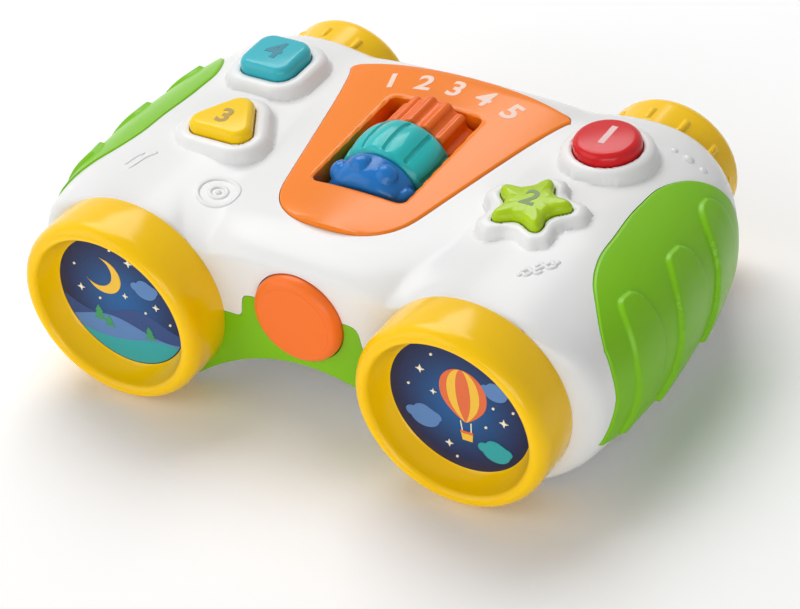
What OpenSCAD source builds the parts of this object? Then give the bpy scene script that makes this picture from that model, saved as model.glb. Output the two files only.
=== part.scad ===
// Toy binoculars: two barrels with rings and picture discs, five push buttons, three rollers, turning eyepieces.
// Millimetres. X runs across, Y from the front rims back to the eyepieces, Z up from the table.
// Inside the modules Y is measured back from the body's front wall and Z up from the barrel axes.

/* [Body] */
// Distance between the two barrel axes
barrel_spacing = 116.4; // [110:0.4:124]
// Height of the barrel axes above the table
axis_height = 31; // [31:0.5:36]
// Half of the body's width at the parting line
body_half = 100; // [97:0.5:106]
// Length of the body from its front wall to its rear end
body_length = 108; // [104:0.5:118]
// Place of the widest section behind the front wall
widest_at = 43; // [36:0.5:50]
// Height of the barrel tops above the axes
barrel_height = 28; // [26.5:0.25:29.5]
// Height of the middle of the top above the axes
middle_height = 27; // [25.5:0.25:28.5]
// Height of the finger arch above the table
arch_height = 19.3; // [17:0.1:20.5]
// Fall of the arch from its crown, per square millimetre across
arch_fall = 0.0096; // [0.0085:0.0001:0.011]
// Thickness of the shell walls
wall = 2.6; // [2:0.1:3]
// Rounding of the front shoulders in plan
shoulder_round = 7; // [4:0.5:9]
// How far the rear corners draw in
rear_draw = 10; // [7:0.5:12]

/* [Clearances] */
// Gap between fixed pieces that drop into each other
fit_gap = 0.15; // [0.1:0.05:0.3]
// Gap round pieces that slide
slide_gap = 0.4; // [0.3:0.05:0.6]
// Radial gap of a turning fit
turn_gap = 0.06; // [0.03:0.01:0.1]
// End play of a turning piece
end_play = 0.3; // [0.25:0.05:0.5]

/* [Front rings and discs] */
// Outer radius of a front ring
ring_radius = 30; // [29:0.25:30.5]
// How far the ring stands ahead of the body
ring_reach = 17; // [14:0.5:20]
// Depth of the ring's socket in the body
ring_socket = 3; // [2:0.25:3.5]
// Radial thickness of the ring's wall
ring_wall = 2.6; // [2:0.1:3]
// Rounding of the ring's rim
rim_round = 1.9; // [1.2:0.1:2.4]
// Radius of the opening that shows the picture
view_radius = 22.4; // [21:0.2:22.6]
// Radius of a picture disc
disc_radius = 22.9; // [22.8:0.1:23.4]
// Depth of the picture behind the rim
disc_depth = 8; // [6:0.25:9.5]
// Thickness of a picture disc
disc_thick = 1.2; // [0.8:0.1:2]
// Thickness of the ring that holds the disc
retainer_thick = 2; // [1.5:0.1:3]

/* [Eyepieces] */
// Radius of an eyepiece between its ribs
eyepiece_radius = 21.4; // [20.9:0.1:22]
// Length of an eyepiece
eyepiece_length = 12.7; // [12:0.1:16]
// Radius of the fixed tube that the eyepiece turns on
bearing_radius = 18; // [17.5:0.1:18.3]
// Wall of that tube
bearing_wall = 2.4; // [2:0.1:2.8]
// Number of grip ribs
eye_ribs = 12; // [8:1:16]
// Radius of a grip rib
eye_rib_radius = 1.6; // [1.2:0.1:2]
// How far a grip rib stands out
eye_rib_rise = 0.8; // [0.5:0.1:1]

/* [Panel and rollers] */
// Front tip of the panel behind the front wall
panel_front = 16.4; // [15:0.2:19]
// Distance of the panel's rear edge from the body's rear end
panel_margin = 7.5; // [6:0.1:10]
// Half width of the panel beside the roller window
panel_half = 24.1; // [22.5:0.2:27]
// Widening of the panel per millimetre towards the rear
panel_flare = 0.228; // [0.2:0.004:0.25]
// Thickness of the panel at its edge
panel_thick = 3.8; // [3.2:0.1:4.2]
// Crown of the panel above its edge
panel_crown = 1.4; // [0.6:0.1:2]
// How far the panel's rear edge bows back in the middle
panel_bow = 4.7; // [3:0.1:6]
// Half width of the roller window
window_half = 15.1; // [14.5:0.1:16.5]
// Front edge of the roller window behind the front wall
window_front = 35; // [33:0.2:38]
// Distance of the roller window's rear edge from the body's rear end
window_behind = 25.8; // [24:0.2:28]
// Height of the axle above the barrel axes
axle_height = 19.5; // [18.5:0.25:20.5]
// Radius of the axle
axle_radius = 2; // [1.5:0.1:2.5]
// Radius of the middle roller
teal_radius = 15; // [14:0.1:15.3]
// Radius over the bumps of the front roller and the ribs of the rear one
small_radius = 13.8; // [12.8:0.1:14.2]
// Part of the window that the front roller takes
blue_part = 11; // [10:0.2:12]
// Part of the window that the middle roller takes
teal_part = 18.2; // [16:0.2:20]
// Part of the window that the rear roller takes
orange_part = 14.8; // [13:0.2:17]
// Gap between the outer rollers and the window's ends
roller_gap = 1.3; // [1:0.1:2]
// Bumps round the front roller
blue_bumps = 10; // [7:1:11]
// Grooves round the middle roller
teal_grooves = 14; // [10:1:18]
// Ribs round the rear roller
orange_ribs = 9; // [7:1:10]
// Wall of the cradle that holds the axle
cradle_wall = 2; // [1.6:0.1:2.4]

/* [Buttons] */
// Travel of every push button
button_travel = 2; // [1.5:0.1:2.5]
// Width of the collar that stands round a top button
collar_width = 5; // [3.5:0.25:5.5]
// Height of the rear collars above the body
rear_collar = 3.1; // [2.4:0.1:3.6]
// Height of the front collars above the body
front_collar = 2.5; // [2:0.1:3.2]
// Height of the rear buttons above their collars
rear_button_rise = 4.5; // [3.6:0.1:5]
// Height of the front buttons above their collars
front_button_rise = 3.6; // [3:0.1:4.5]
// Distance of the rear buttons from the body's rear end
rear_button_inset = 26.4; // [25:0.2:29]
// Distance between the front and the rear buttons
button_pitch = 37.1; // [35.5:0.1:38.5]
// Shift of the front buttons from the barrel axes towards the middle
front_button_in = 5.5; // [4:0.25:6.5]
// Radius of the round button
round_radius = 11; // [10:0.2:11.6]
// Half side of the square button
square_half = 9.3; // [8.5:0.1:9.8]
// Corner radius of the square button
square_corner = 5; // [3.5:0.25:6]
// Distance of the triangle's corner centres from its middle
triangle_reach = 7.5; // [6.5:0.1:8]
// Corner radius of the triangle button
triangle_corner = 4; // [3:0.1:4.5]
// Mean radius of the star button
star_mean = 9.4; // [8.6:0.1:9.8]
// Depth of the star's points
star_point = 2.2; // [1.6:0.1:2.6]
// Radius of the front button
big_radius = 14.7; // [13.6:0.1:15]
// Height of the front button's axis above the barrel axes
big_height = 6.5; // [5.5:0.25:7]
// How far the front button stands ahead of the body
big_rise = 3.7; // [2.8:0.1:5]
// Width of the front button's rounded edge
big_ease = 2.8; // [1.5:0.1:4]
// Width of the flange that keeps a button in
flange_width = 1.4; // [1:0.1:1.6]
// Thickness of that flange
flange_thick = 1.5; // [1.2:0.1:1.8]

/* [Grips] */
// Distance of a grip's rear end from the body's rear end
grip_tail = 16; // [13.5:0.25:21]
// Front end of a grip at the parting line
grip_front = 6.5; // [5.5:0.25:9]
// How far a grip reaches in over the top
grip_reach = 24; // [21:0.5:26]
// Depth of the grip's recess in the shell
grip_sink = 1.3; // [1:0.1:1.5]
// How far a grip stands proud
grip_rise = 0.6; // [0.3:0.1:0.9]
// How far the three petals stand above the grip
petal_rise = 0.9; // [0.5:0.1:1.3]

/* [Inside] */
// Top of the key boards above the barrel axes
board_top = 8; // [7:0.25:9]
// Thickness of the boards
board_thick = 1.6; // [1.2:0.1:2]
// Width of a key board
board_width = 32; // [30:0.5:34]
// How far a key board runs ahead of the front buttons
board_lead = 9; // [8:0.25:10]
// How far a key board runs behind the rear buttons
board_tail = 15.9; // [12:0.1:16]
// Side of a key switch
switch_side = 6; // [5:0.5:7]
// Height of a key switch with its plunger
switch_height = 5; // [4:0.1:5.5]
// Diameter of a cell
cell_diameter = 10.5; // [10.1:0.1:10.8]
// Length of a cell
cell_length = 44.5; // [44:0.1:46]
// Radius of the speaker
speaker_radius = 14; // [12:0.25:15]
// Height of the speaker with its magnet
speaker_height = 8; // [6:0.25:10]
// Radius of one speaker hole
grille_hole = 1.1; // [0.8:0.1:1.3]
// Thickness of the battery door
door_thick = 1.3; // [1:0.1:1.5]
// Radius of a housing screw's shank
screw_radius = 1.4; // [1.2:0.1:1.6]
// Radius of a housing screw's head
head_radius = 2.8; // [2.4:0.1:3]
// Travel of the power switch
power_travel = 4; // [3:0.5:5]

/* [Hidden] */
$fn = 64;
eps = 0.01;
axis_x = barrel_spacing / 2;
eye_face = body_length + end_play;
total_depth = ring_reach + eye_face + eyepiece_length;
arch_top = axis_height - arch_height;
rear_start = body_length - 26;
front_wall = ring_socket + wall;
rear_wall = wall + 0.4;
cavity_rear = body_length - rear_wall;
spigot_radius = disc_radius + 1.7;
socket_radius = ring_radius + 2 * fit_gap;
panel_rear = body_length - panel_margin;
panel_length = panel_rear - panel_front;
rear_button_at = body_length - rear_button_inset;
front_button_at = rear_button_at - button_pitch;
grip_length = body_length - grip_tail - grip_front;
panel_nose = 18.4;
window_rear = body_length - window_behind;
window_length = window_rear - window_front;
roller_room = (window_length - 2 * end_play - 2 * roller_gap) / (blue_part + teal_part + orange_part);
blue_width = roller_room * blue_part;
teal_width = roller_room * teal_part;
orange_width = roller_room * orange_part;
cradle_half = window_half + 1.6 + cradle_wall;
cradle_front = window_front - 3.4;
cradle_rear = window_rear + 3.4;
panel_floor = middle_height - panel_thick;
cradle_floor = axle_height - teal_radius - 1.2 - cradle_wall;
blue_from = window_front + roller_gap;
teal_from = blue_from + blue_width + end_play;
orange_from = teal_from + teal_width + end_play;
front_button_x = axis_x - front_button_in;
floor_z = -axis_height;
inner_floor = floor_z + wall;
board_from = front_button_at - board_lead;
board_length = rear_button_at + board_tail - board_from;
board_in = axis_x - 0.5 * board_width - 2;
switch_z = board_top + switch_height;
stem_z = switch_z + button_travel + 0.3;
bay_at = front_button_at - 17;
bay_half = cell_diameter + 0.6;
bay_length = cell_length + 5.5;
bay_roof = inner_floor + cell_diameter + 1.2;
tray_wall = 1.4;
pillar_radius = 3.4;
post_radius = 4.2;
screw_bite = 12;
board_post = 2;
slot_half = 12;
slot_wall = 1.5;
door_seat = floor_z + door_thick + 0.1;
door_half = bay_half + 1.3;
door_from = bay_at - 2;
door_to = bay_at + bay_length + 9;
door_screw_at = bay_at + bay_length + 4.5;
speaker_at = front_button_at + 5;
power_at = speaker_at + speaker_radius + 18;
screws = [
  [body_half - 18, 31], [-body_half + 18, 31],
  [body_half - 20, body_length - 32], [-body_half + 20, body_length - 32],
  [24, body_length - 13.5], [-24, body_length - 13.5]
];
board_posts = [[-13.5, 31], [12.5, 31], [12, 8]];

// Smooth step from 0 at a to 1 at b
function ramp(a, b, t) = let (u = min(1, max(0, (t - a) / (b - a)))) u * u * (3 - 2 * u);

// Larger of two values with a soft corner of size k
function soft_max(a, b, k) = let (h = max(k - abs(a - b), 0) / k) max(a, b) + h * h * k / 4;

// Drop of a rounded edge: 0 at t = 0 and the full amount at t = 1
function round_drop(amount, t) = let (u = min(1, max(0, t))) amount * (1 - sqrt(1 - u * u));

// Fall-off of a rounded form from 1 in the middle to 0 at t = 1
function swell(t, power) = pow(max(0, 1 - pow(min(1, abs(t)), power)), 1 / power);

// Point on a cubic curve with four control points
function bezier(p, t) = pow(1 - t, 3) * p[0] + 3 * t * pow(1 - t, 2) * p[1]
  + 3 * t * t * (1 - t) * p[2] + pow(t, 3) * p[3];

// Half width of the body at the parting line
function half_width(v) = body_half - (v < widest_at ? 0.0032 : 0.0022) * pow(v - widest_at, 2)
  - round_drop(shoulder_round, (shoulder_round - v) / shoulder_round)
  - round_drop(rear_draw, (v - rear_start) / 26);

// Height of a barrel's top
function barrel_top(v) = let (d = max(0, v - widest_at + 2))
  barrel_height - 0.07 * d * d / (d + 12)
  - round_drop(1.5, (4 - v) / 4) - round_drop(1.5, (v - body_length + 10) / 10);

// Height of the middle hump, which carries the panel and dives to the front wall
function middle_top(x, v, sink) = let (
    crown = middle_height - round_drop(6, (17 - v) / 17) - round_drop(8, (v - body_length + 13) / 13) - sink,
    reach = 44 + 26 * ramp(0, 33, v))
  crown * swell(x / reach, 3);

// Height of the top between the two barrel axes
function inner_top(x, v, o, sink) =
  soft_max((barrel_top(v) - o) * swell((axis_x - abs(x)) / 30, 2.3), middle_top(abs(x), v, sink), 5);

// Height of the top anywhere
function body_top(x, v) = abs(x) < axis_x ? inner_top(x, v, 0, 0)
  : barrel_top(v) * swell((abs(x) - axis_x) / (half_width(v) - axis_x), 2.5);

// Depth of the underside between the barrel axes: the finger arch and the flat barrel bottoms
function inner_low(x, v, o) = let (
    lift = 1 - round_drop(9, (v - body_length + 17) / 17) / axis_height,
    arch = arch_top + arch_fall * x * x)
  min(axis_height, -soft_max(-arch, -axis_height - 0.5, 4)) * lift - o;

// Places along the body where its section is drawn
function stations(from, to, few) = few
  ? [for (i = [0:11]) from + (to - from) * (1 - cos(180 * i / 11)) / 2]
  : concat([for (i = [0:5]) shoulder_round * (1 - cos(18 * i))],
      [for (i = [1:10]) shoulder_round + (rear_start - shoulder_round) * i / 10],
      [for (i = [1:7]) rear_start + 26 * sin(90 * i / 7)]);

// One side's rounded quarter of the section, from the parting line to the barrel axis
function quarter(v, o, up, n) = let (
    a = half_width(v) - o - axis_x,
    lift = 1 - round_drop(9, (v - body_length + 17) / 17) / axis_height,
    b = up ? barrel_top(v) - o : (axis_height + 0.5) * lift - o,
    p = up ? 2.5 : 2.8,
    most = up ? b : axis_height * lift - o)
  [for (i = [0:n - 1]) let (f = 90 * (1 - i / n))
    [axis_x + a * pow(sin(f), 2 / p), min(most, b * pow(cos(f), 2 / p))]];

// Whole upper or lower section as one curve from the right parting line to the left
function half_section(v, o, sink, up, n, m) = let (side = quarter(v, o, up, n)) concat(
  side,
  [for (i = [0:m]) let (x = axis_x * (1 - 2 * i / m)) [x, up ? inner_top(x, v, o, sink) : inner_low(x, v, o)]],
  [for (i = [n - 1:-1:0]) [-side[i][0], side[i][1]]]);

// Triangles round a hub that sees the points from first to last of a section
function fan(hub, first, last) = [for (i = [first:last - 1]) [hub, i, i + 1]];

// End cap of a whole section: the curve's points come first, then its flat side with two hubs on the barrel axes
function body_cap(count, corners) = let (
    mid = (count - 1) / 2,
    near = count + corners,
    far = near + 1)
  concat(fan(far, 0, mid), [[far, mid, near]], fan(near, mid, count - 1 + corners),
    corners > 0 ? [[far, far + 1, 0]] : []);

// Solid skinned over a row of sections that share their number of points and their end cap
module loft(rings, cap) {
  n = len(rings[0]);
  m = len(rings);
  polyhedron(
    points = [for (r = rings) each r],
    faces = concat(
      [for (j = [0:m - 2]) for (i = [0:n - 1]) [j * n + i, j * n + (i + 1) % n, (j + 1) * n + (i + 1) % n]],
      [for (j = [0:m - 2]) for (i = [0:n - 1]) [j * n + i, (j + 1) * n + (i + 1) % n, (j + 1) * n + i]],
      [for (t = cap) [t[0], t[2], t[1]]],
      [for (t = cap) [for (i = t) (m - 1) * n + i]]),
    convexity = 6);
}

// Upper half of the body, closed a little below the parting line when drop is given
module upper_solid(o, sink, drop, from, to, few) {
  rings = [for (v = stations(from, to, few)) let (
      curve = half_section(v, o, sink, true, few ? 6 : 9, few ? 14 : 26),
      side = curve[0][0])
    concat([for (q = curve) [q[0], v, q[1]]],
      drop > 0 ? [[-side, v, -drop]] : [],
      [[-axis_x, v, -drop], [axis_x, v, -drop]],
      drop > 0 ? [[side, v, -drop]] : [])];
  corners = drop > 0 ? 1 : 0;
  loft(rings, body_cap(len(rings[0]) - 2 - 2 * corners, corners));
}

// Lower half of the body
module lower_solid(o, drop, from, to, few) {
  rings = [for (v = stations(from, to, few)) let (
      curve = half_section(v, o, 0, false, few ? 6 : 9, few ? 20 : 32),
      side = curve[0][0])
    concat([for (i = [len(curve) - 1:-1:0]) [curve[i][0], v, -curve[i][1]]],
      drop > 0 ? [[side, v, drop]] : [],
      [[axis_x, v, drop], [-axis_x, v, drop]],
      drop > 0 ? [[-side, v, drop]] : [])];
  corners = drop > 0 ? 1 : 0;
  loft(rings, body_cap(len(rings[0]) - 2 - 2 * corners, corners));
}

// Outer side of the right barrel alone along the grip, used to shape the grips
module side_solid(o, up, drop) {
  s = up ? 1 : -1;
  first = grip_front - 3;
  last = grip_front + grip_length + 3;
  rings = [for (i = [0:13]) let (
      v = first + (last - first) * (1 - cos(180 * i / 13)) / 2,
      curve = quarter(v, o, up, 10),
      b = up ? barrel_top(v) - o : inner_low(axis_x, v, o),
      ring = concat(drop > 0 ? [[curve[0][0], v, -s * drop]] : [], [for (q = curve) [q[0], v, s * q[1]]],
        [[axis_x, v, s * b], [axis_x, v, -s * drop]]))
    up ? ring : [for (i = [len(ring) - 1:-1:0]) ring[i]]];
  count = len(rings[0]);
  loft(rings, up ? fan(count - 1, 0, count - 2) : fan(0, 1, count - 1));
}

// Puts a piece that is drawn in the working frame on the table
module placed() {
  translate([0, ring_reach - total_depth / 2, axis_height]) children();
}

// Turns a piece drawn along Z so that it lies along Y from the given place
module along(x, v, z) {
  translate([x, v, z]) rotate([-90, 0, 0]) children();
}

// Rectangle with round corners, centred
module soft_rect(w, l, r) {
  square([w - 2 * r, l], center = true);
  square([w, l - 2 * r], center = true);
  for (x = [-1, 1]) for (y = [-1, 1]) translate([x * (w / 2 - r), y * (l / 2 - r)]) circle(r);
}

// Edge of the panel at a share s of its length
function panel_width(s, g) = let (
    v = panel_front + s * (panel_length - panel_bow),
    plain = panel_half + panel_flare * (v - window_front) + 0.0018 * pow(max(0, v - 70), 2),
    nose = min(1, max(0, s * panel_length / panel_nose)))
  g + max(1.5, plain * pow(1 - pow(1 - nose, 2.8), 1 / 2.8));
function panel_point(s, u, g) = let (
    x = u * panel_width(s, g),
    back = panel_rear - panel_bow * pow(x / panel_width(1, 0), 2) + g)
  [x, panel_front - g + s * (back - panel_front + g)];
panel_steps = concat([for (i = [0:7]) 0.22 * pow(i / 7, 2)], [for (i = [1:9]) 0.22 + 0.78 * i / 9]);

// Outline of the panel, grown by g
module panel_outline(g) {
  polygon(concat(
    [for (s = panel_steps) panel_point(s, 1, g)],
    [for (i = [1:11]) panel_point(1, 1 - 2 * i / 12, g)],
    [for (i = [len(panel_steps) - 1:-1:0]) panel_point(panel_steps[i], -1, g)]));
}

// Outlines of the four top buttons, grown by g and centred
module round_outline(g) {
  circle(round_radius + g);
}
module square_outline(g) {
  soft_rect(2 * (square_half + g), 2 * (square_half + g), square_corner + g);
}
module triangle_outline(g) {
  polygon([for (k = [0:2]) for (a = [-60:10:60]) let (f = 90 + 120 * k)
    triangle_reach * [cos(f), sin(f)] + (triangle_corner + g) * [cos(f + a), sin(f + a)]]);
}
module star_outline(g) {
  polygon([for (a = [0:6:354]) (star_mean + g + star_point * cos(5 * (a - 90))
    + 0.45 * cos(10 * (a - 90))) * [cos(a), sin(a)]]);
}
module outline(kind, g) {
  if (kind == "round") round_outline(g);
  if (kind == "square") square_outline(g);
  if (kind == "triangle") triangle_outline(g);
  if (kind == "star") star_outline(g);
}

// Places of the top buttons and the heights that follow from the body under them
function is_rear(kind) = kind == "round" || kind == "square";
function button_x(kind) = (kind == "round" || kind == "star" ? 1 : -1) * (is_rear(kind) ? axis_x : front_button_x);
function button_v(kind) = is_rear(kind) ? rear_button_at : front_button_at;
function button_base(kind) = body_top(button_x(kind), button_v(kind));
function collar_z(kind) = button_base(kind) + (is_rear(kind) ? rear_collar : front_collar);
function button_z(kind) = collar_z(kind) + (is_rear(kind) ? rear_button_rise : front_button_rise);
function flange_z(kind) = button_base(kind) - wall - 1.4;
kinds = ["round", "star", "triangle", "square"];

// Raised collar round a button, with a stepped soft edge
module collar(kind) {
  z = collar_z(kind);
  low = button_base(kind) - 5;
  for (k = [0:3]) translate([button_x(kind), button_v(kind), low])
    linear_extrude(z - low - 0.9 * (1 - cos(30 * k))) outline(kind, collar_width * (0.45 + 0.55 * sin(30 * k)));
}

// Guide sleeve under the shell that stops the button's flange
module sleeve(kind) {
  z = flange_z(kind) + 0.3;
  translate([button_x(kind), button_v(kind), z])
    linear_extrude(button_base(kind) - 0.8 - z) outline(kind, flange_width + 0.8);
}

// Plan outline of the right grip
module grip_plan(g) {
  mid = grip_front + 0.5 * grip_length + 2.6;
  ahead = mid - grip_front - 4;
  behind = grip_front + grip_length - mid;
  polygon(concat(
    [for (i = [0:20]) let (t = 1 - i / 20) [body_half + 0.5 - (grip_reach + g) * swell(t, 2.1), mid - t * (ahead + g)]],
    [for (i = [1:20]) let (t = i / 20) [body_half + 0.5 - (grip_reach + g) * swell(t, 2.8), mid + t * (behind + g)]],
    [[body_half + 8, mid + behind + g], [body_half + 8, mid - ahead - g]]));
}

// Side outline of the lower half of a grip: a pointed tip at the front, a long curve below
grip_tip = [grip_front - 1.5, -13.5];
module grip_side(g) {
  start = [grip_front + 4.2 - g, 1];
  finish = [grip_front + grip_length + g, 1];
  polygon(concat(
    [for (i = [0:8]) bezier([start, [start[0], -5], grip_tip + [2.5 - g, 5], grip_tip - [g, 0]], i / 8)],
    [for (i = [1:20]) bezier([grip_tip - [g, g], [grip_front + 18, -24 - g], [grip_front + grip_length - 12, -27 - g],
      finish], i / 20)]));
}

// Side outline of one raised petal of a grip; its head is at the given place
module petal(head) {
  tip = [head - 24, -21];
  polygon(concat(
    [for (i = [0:12]) bezier([[head - 3, 20.8], [head - 17, 21.5], [head - 9, -6], tip], i / 12)],
    [for (i = [1:12]) bezier([tip, [head + 2, -10], [head + 8, 19.5], [head - 3, 20.8]], i / 12)]));
}
petal_heads = [for (share = [0.2982, 0.6023, 0.8889]) grip_front + share * grip_length];

// Upright prisms of the right grip
module grip_prism(up, g) {
  if (up) translate([0, 0, -1]) linear_extrude(40) grip_plan(g);
  else translate([axis_x + 6, 0, 0]) rotate([90, 0, 90]) linear_extrude(60) grip_side(g);
}
module petal_prisms() {
  for (head = petal_heads) translate([axis_x + 6, 0, 0]) rotate([90, 0, 90]) linear_extrude(60) petal(head);
}

// Right grip, upper or lower half
module grip(up) {
  intersection() {
    grip_prism(up, 0);
    difference() {
      union() {
        side_solid(-grip_rise, up, 0);
        intersection() {
          side_solid(-grip_rise - petal_rise, up, 0);
          petal_prisms();
        }
      }
      side_solid(grip_sink, up, 1);
    }
  }
}

// Recess that a grip drops into
module grip_recess(up) {
  for (s = [0, 1]) mirror([s, 0, 0]) difference() {
    grip_prism(up, fit_gap);
    side_solid(grip_sink, up, 2);
  }
}

// Front view of the green bridge: the wall over the arch with the tongue that holds the front button,
// grown by g, and with its lower edge let down by drop to make the cut-out
module bridge_outline(g, drop) {
  step = [for (i = [0:6]) bezier([[22.6, 0], [20.4, 0], [20.8, 2], [20.2, 4]], i / 6)];
  lip = [for (i = [1:6]) bezier([[20.2, 4], [19.6, 7], [19, 8], [15.6, 8.6]], i / 6)];
  side = [for (q = concat(step, lip)) q + [g, g]];
  difference() {
    polygon(concat(
      [for (i = [-16:16]) let (x = 2.75 * i) [x, -arch_top - arch_fall * x * x - drop]],
      [[44, g]], side,
      [for (i = [len(side) - 1:-1:0]) [-side[i][0], side[i][1]]], [[-44, g]]));
    for (s = [-1, 1]) translate([s * axis_x, 0]) circle(socket_radius - 4 * g);
  }
}

// Shapes that both shells leave free; each bore is turned so that its seam misses the parting line
module shell_bore(x, v, z, h, r) {
  along(x, v, z) rotate([0, 0, 50]) cylinder(h = h, r = r);
}
module shell_cuts() {
  for (s = [-1, 1]) {
    shell_bore(s * axis_x, -1, 0, 1 + ring_socket, socket_radius);
    shell_bore(s * axis_x, 0, 0, front_wall + 3, spigot_radius + fit_gap);
    shell_bore(s * axis_x, cavity_rear - 1, 0, rear_wall + 2, bearing_radius + fit_gap);
  }
  shell_bore(0, -1, big_height, front_wall + 2, big_radius + slide_gap);
  shell_bore(0, front_wall - 0.5, big_height, 6.5, big_radius + flange_width + 2 * slide_gap);
}

// Insides of the two shells
module upper_hollow() {
  upper_solid(wall, wall + panel_thick - 0.2, 2, front_wall, cavity_rear, true);
}
module lower_hollow() {
  lower_solid(wall, 2, front_wall, cavity_rear, true);
}

// Ways for the housing screws and their heads from below
module screw_bores() {
  for (q = screws) {
    translate([q[0], q[1], floor_z - 1]) cylinder(h = axis_height - 5, r = head_radius + 0.3);
    translate([q[0], q[1], floor_z - 1]) cylinder(h = axis_height + 2, r = screw_radius + 0.25);
  }
}

module upper_shell() {
  color("white") placed() difference() {
    union() {
      difference() {
        upper_solid(0, 0, 0, 0, body_length, false);
        upper_hollow();
        grip_recess(true);
      }
      for (kind = kinds) {
        collar(kind);
        sleeve(kind);
      }
    }
    shell_cuts();
    translate([0, 0, panel_floor]) linear_extrude(30) panel_outline(fit_gap);
    translate([0, (cradle_front + cradle_rear) / 2, -eps]) linear_extrude(40)
      square([2 * (cradle_half + fit_gap), cradle_rear - cradle_front + 2 * fit_gap], center = true);
    translate([0, wall + fit_gap, 0]) rotate([90, 0, 0]) linear_extrude(wall + fit_gap + 1) bridge_outline(fit_gap, 6);
    for (kind = kinds) translate([button_x(kind), button_v(kind), board_top + 5]) {
      linear_extrude(40) outline(kind, slide_gap);
      linear_extrude(flange_z(kind) + 0.3 - board_top - 5) outline(kind, flange_width + slide_gap);
    }
  }
}

// Pillars that the housing screws bite into, and those that carry the key boards, all under the upper shell
module upper_posts() {
  color("white") placed() difference() {
    intersection() {
      upper_hollow();
      union() {
        for (q = screws) translate([q[0], q[1], 0]) cylinder(h = axis_height, r = pillar_radius);
        for (s = [-1, 1]) for (q = board_posts)
          translate([s * (axis_x + q[0]), board_from + q[1], board_top]) cylinder(h = axis_height, r = board_post);
      }
    }
    for (q = screws) translate([q[0], q[1], -1]) cylinder(h = screw_bite + 1, r = screw_radius + 0.05);
  }
}

module lower_shell() {
  color("white") placed() difference() {
    lower_solid(0, 0, 0, body_length, false);
    lower_hollow();
    grip_recess(false);
    shell_cuts();
    translate([0, wall + fit_gap, 0]) rotate([90, 0, 0]) linear_extrude(wall + fit_gap + 1) bridge_outline(fit_gap, 6);
    screw_bores();
    translate([axis_x - bay_half, bay_at, floor_z - 1]) cube([2 * bay_half, bay_length, wall + 2]);
    translate([axis_x - bay_half - tray_wall - fit_gap, bay_at - tray_wall - fit_gap, inner_floor])
      cube([2 * (bay_half + tray_wall + fit_gap), bay_length + 2 * (tray_wall + fit_gap), 6]);
    translate([axis_x, door_screw_at, inner_floor]) cylinder(h = 6, r = pillar_radius + fit_gap);
    translate([-axis_x, speaker_at, inner_floor]) cylinder(h = 6, r = speaker_radius + fit_gap);
    translate([-axis_x, power_at, inner_floor]) linear_extrude(3)
      square([13 + 2 * fit_gap, power_length + 4 + 2 * fit_gap], center = true);
    translate([axis_x - door_half - fit_gap, door_from - fit_gap, floor_z - 1])
      cube([2 * (door_half + fit_gap), door_to - door_from + 2 * fit_gap, 1 + door_thick + 0.1]);
    translate([axis_x, door_screw_at, floor_z - 1]) cylinder(h = wall + 2, r = screw_radius + 0.25);
    for (i = [-3:3]) for (j = [-3:3]) if (norm([i + j / 2, j * 0.866]) * 4 < speaker_radius - 3)
      translate([-axis_x + 4 * (i + j / 2), speaker_at + 4 * 0.866 * j, floor_z - 1])
        cylinder(h = wall + 2, r = grille_hole, $fn = 24);
    translate([-axis_x, power_at, floor_z - 1]) linear_extrude(wall + 2)
      square([9 + 2 * fit_gap, power_length + 2 * fit_gap], center = true);
  }
}

// Posts for the housing screws and the slot that holds the front key board, all standing on the lower shell
module lower_posts() {
  color("white") placed() difference() {
    intersection() {
      lower_hollow();
      union() {
        for (q = screws) translate([q[0], q[1], floor_z]) cylinder(h = axis_height, r = post_radius);
        translate([-slot_half, front_board_at - slot_wall, floor_z])
          cube([2 * slot_half, board_thick + 2 * slot_wall, axis_height - 3]);
      }
    }
    screw_bores();
    translate([-slot_half - 1, front_board_at - fit_gap, front_board_foot])
      cube([2 * slot_half + 2, board_thick + 2 * fit_gap, 20]);
  }
}

module front_bridge() {
  color("yellowgreen") placed() difference() {
    translate([0, wall, 0]) rotate([90, 0, 0]) linear_extrude(wall) bridge_outline(0, 0);
    along(0, -1, big_height) cylinder(h = wall + 2, r = big_radius + slide_gap);
  }
}

module right_grip_upper() {
  color("yellowgreen") placed() grip(true);
}
module left_grip_upper() {
  color("yellowgreen") placed() mirror([1, 0, 0]) grip(true);
}
module right_grip_lower() {
  color("yellowgreen") placed() grip(false);
}
module left_grip_lower() {
  color("yellowgreen") placed() mirror([1, 0, 0]) grip(false);
}

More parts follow.
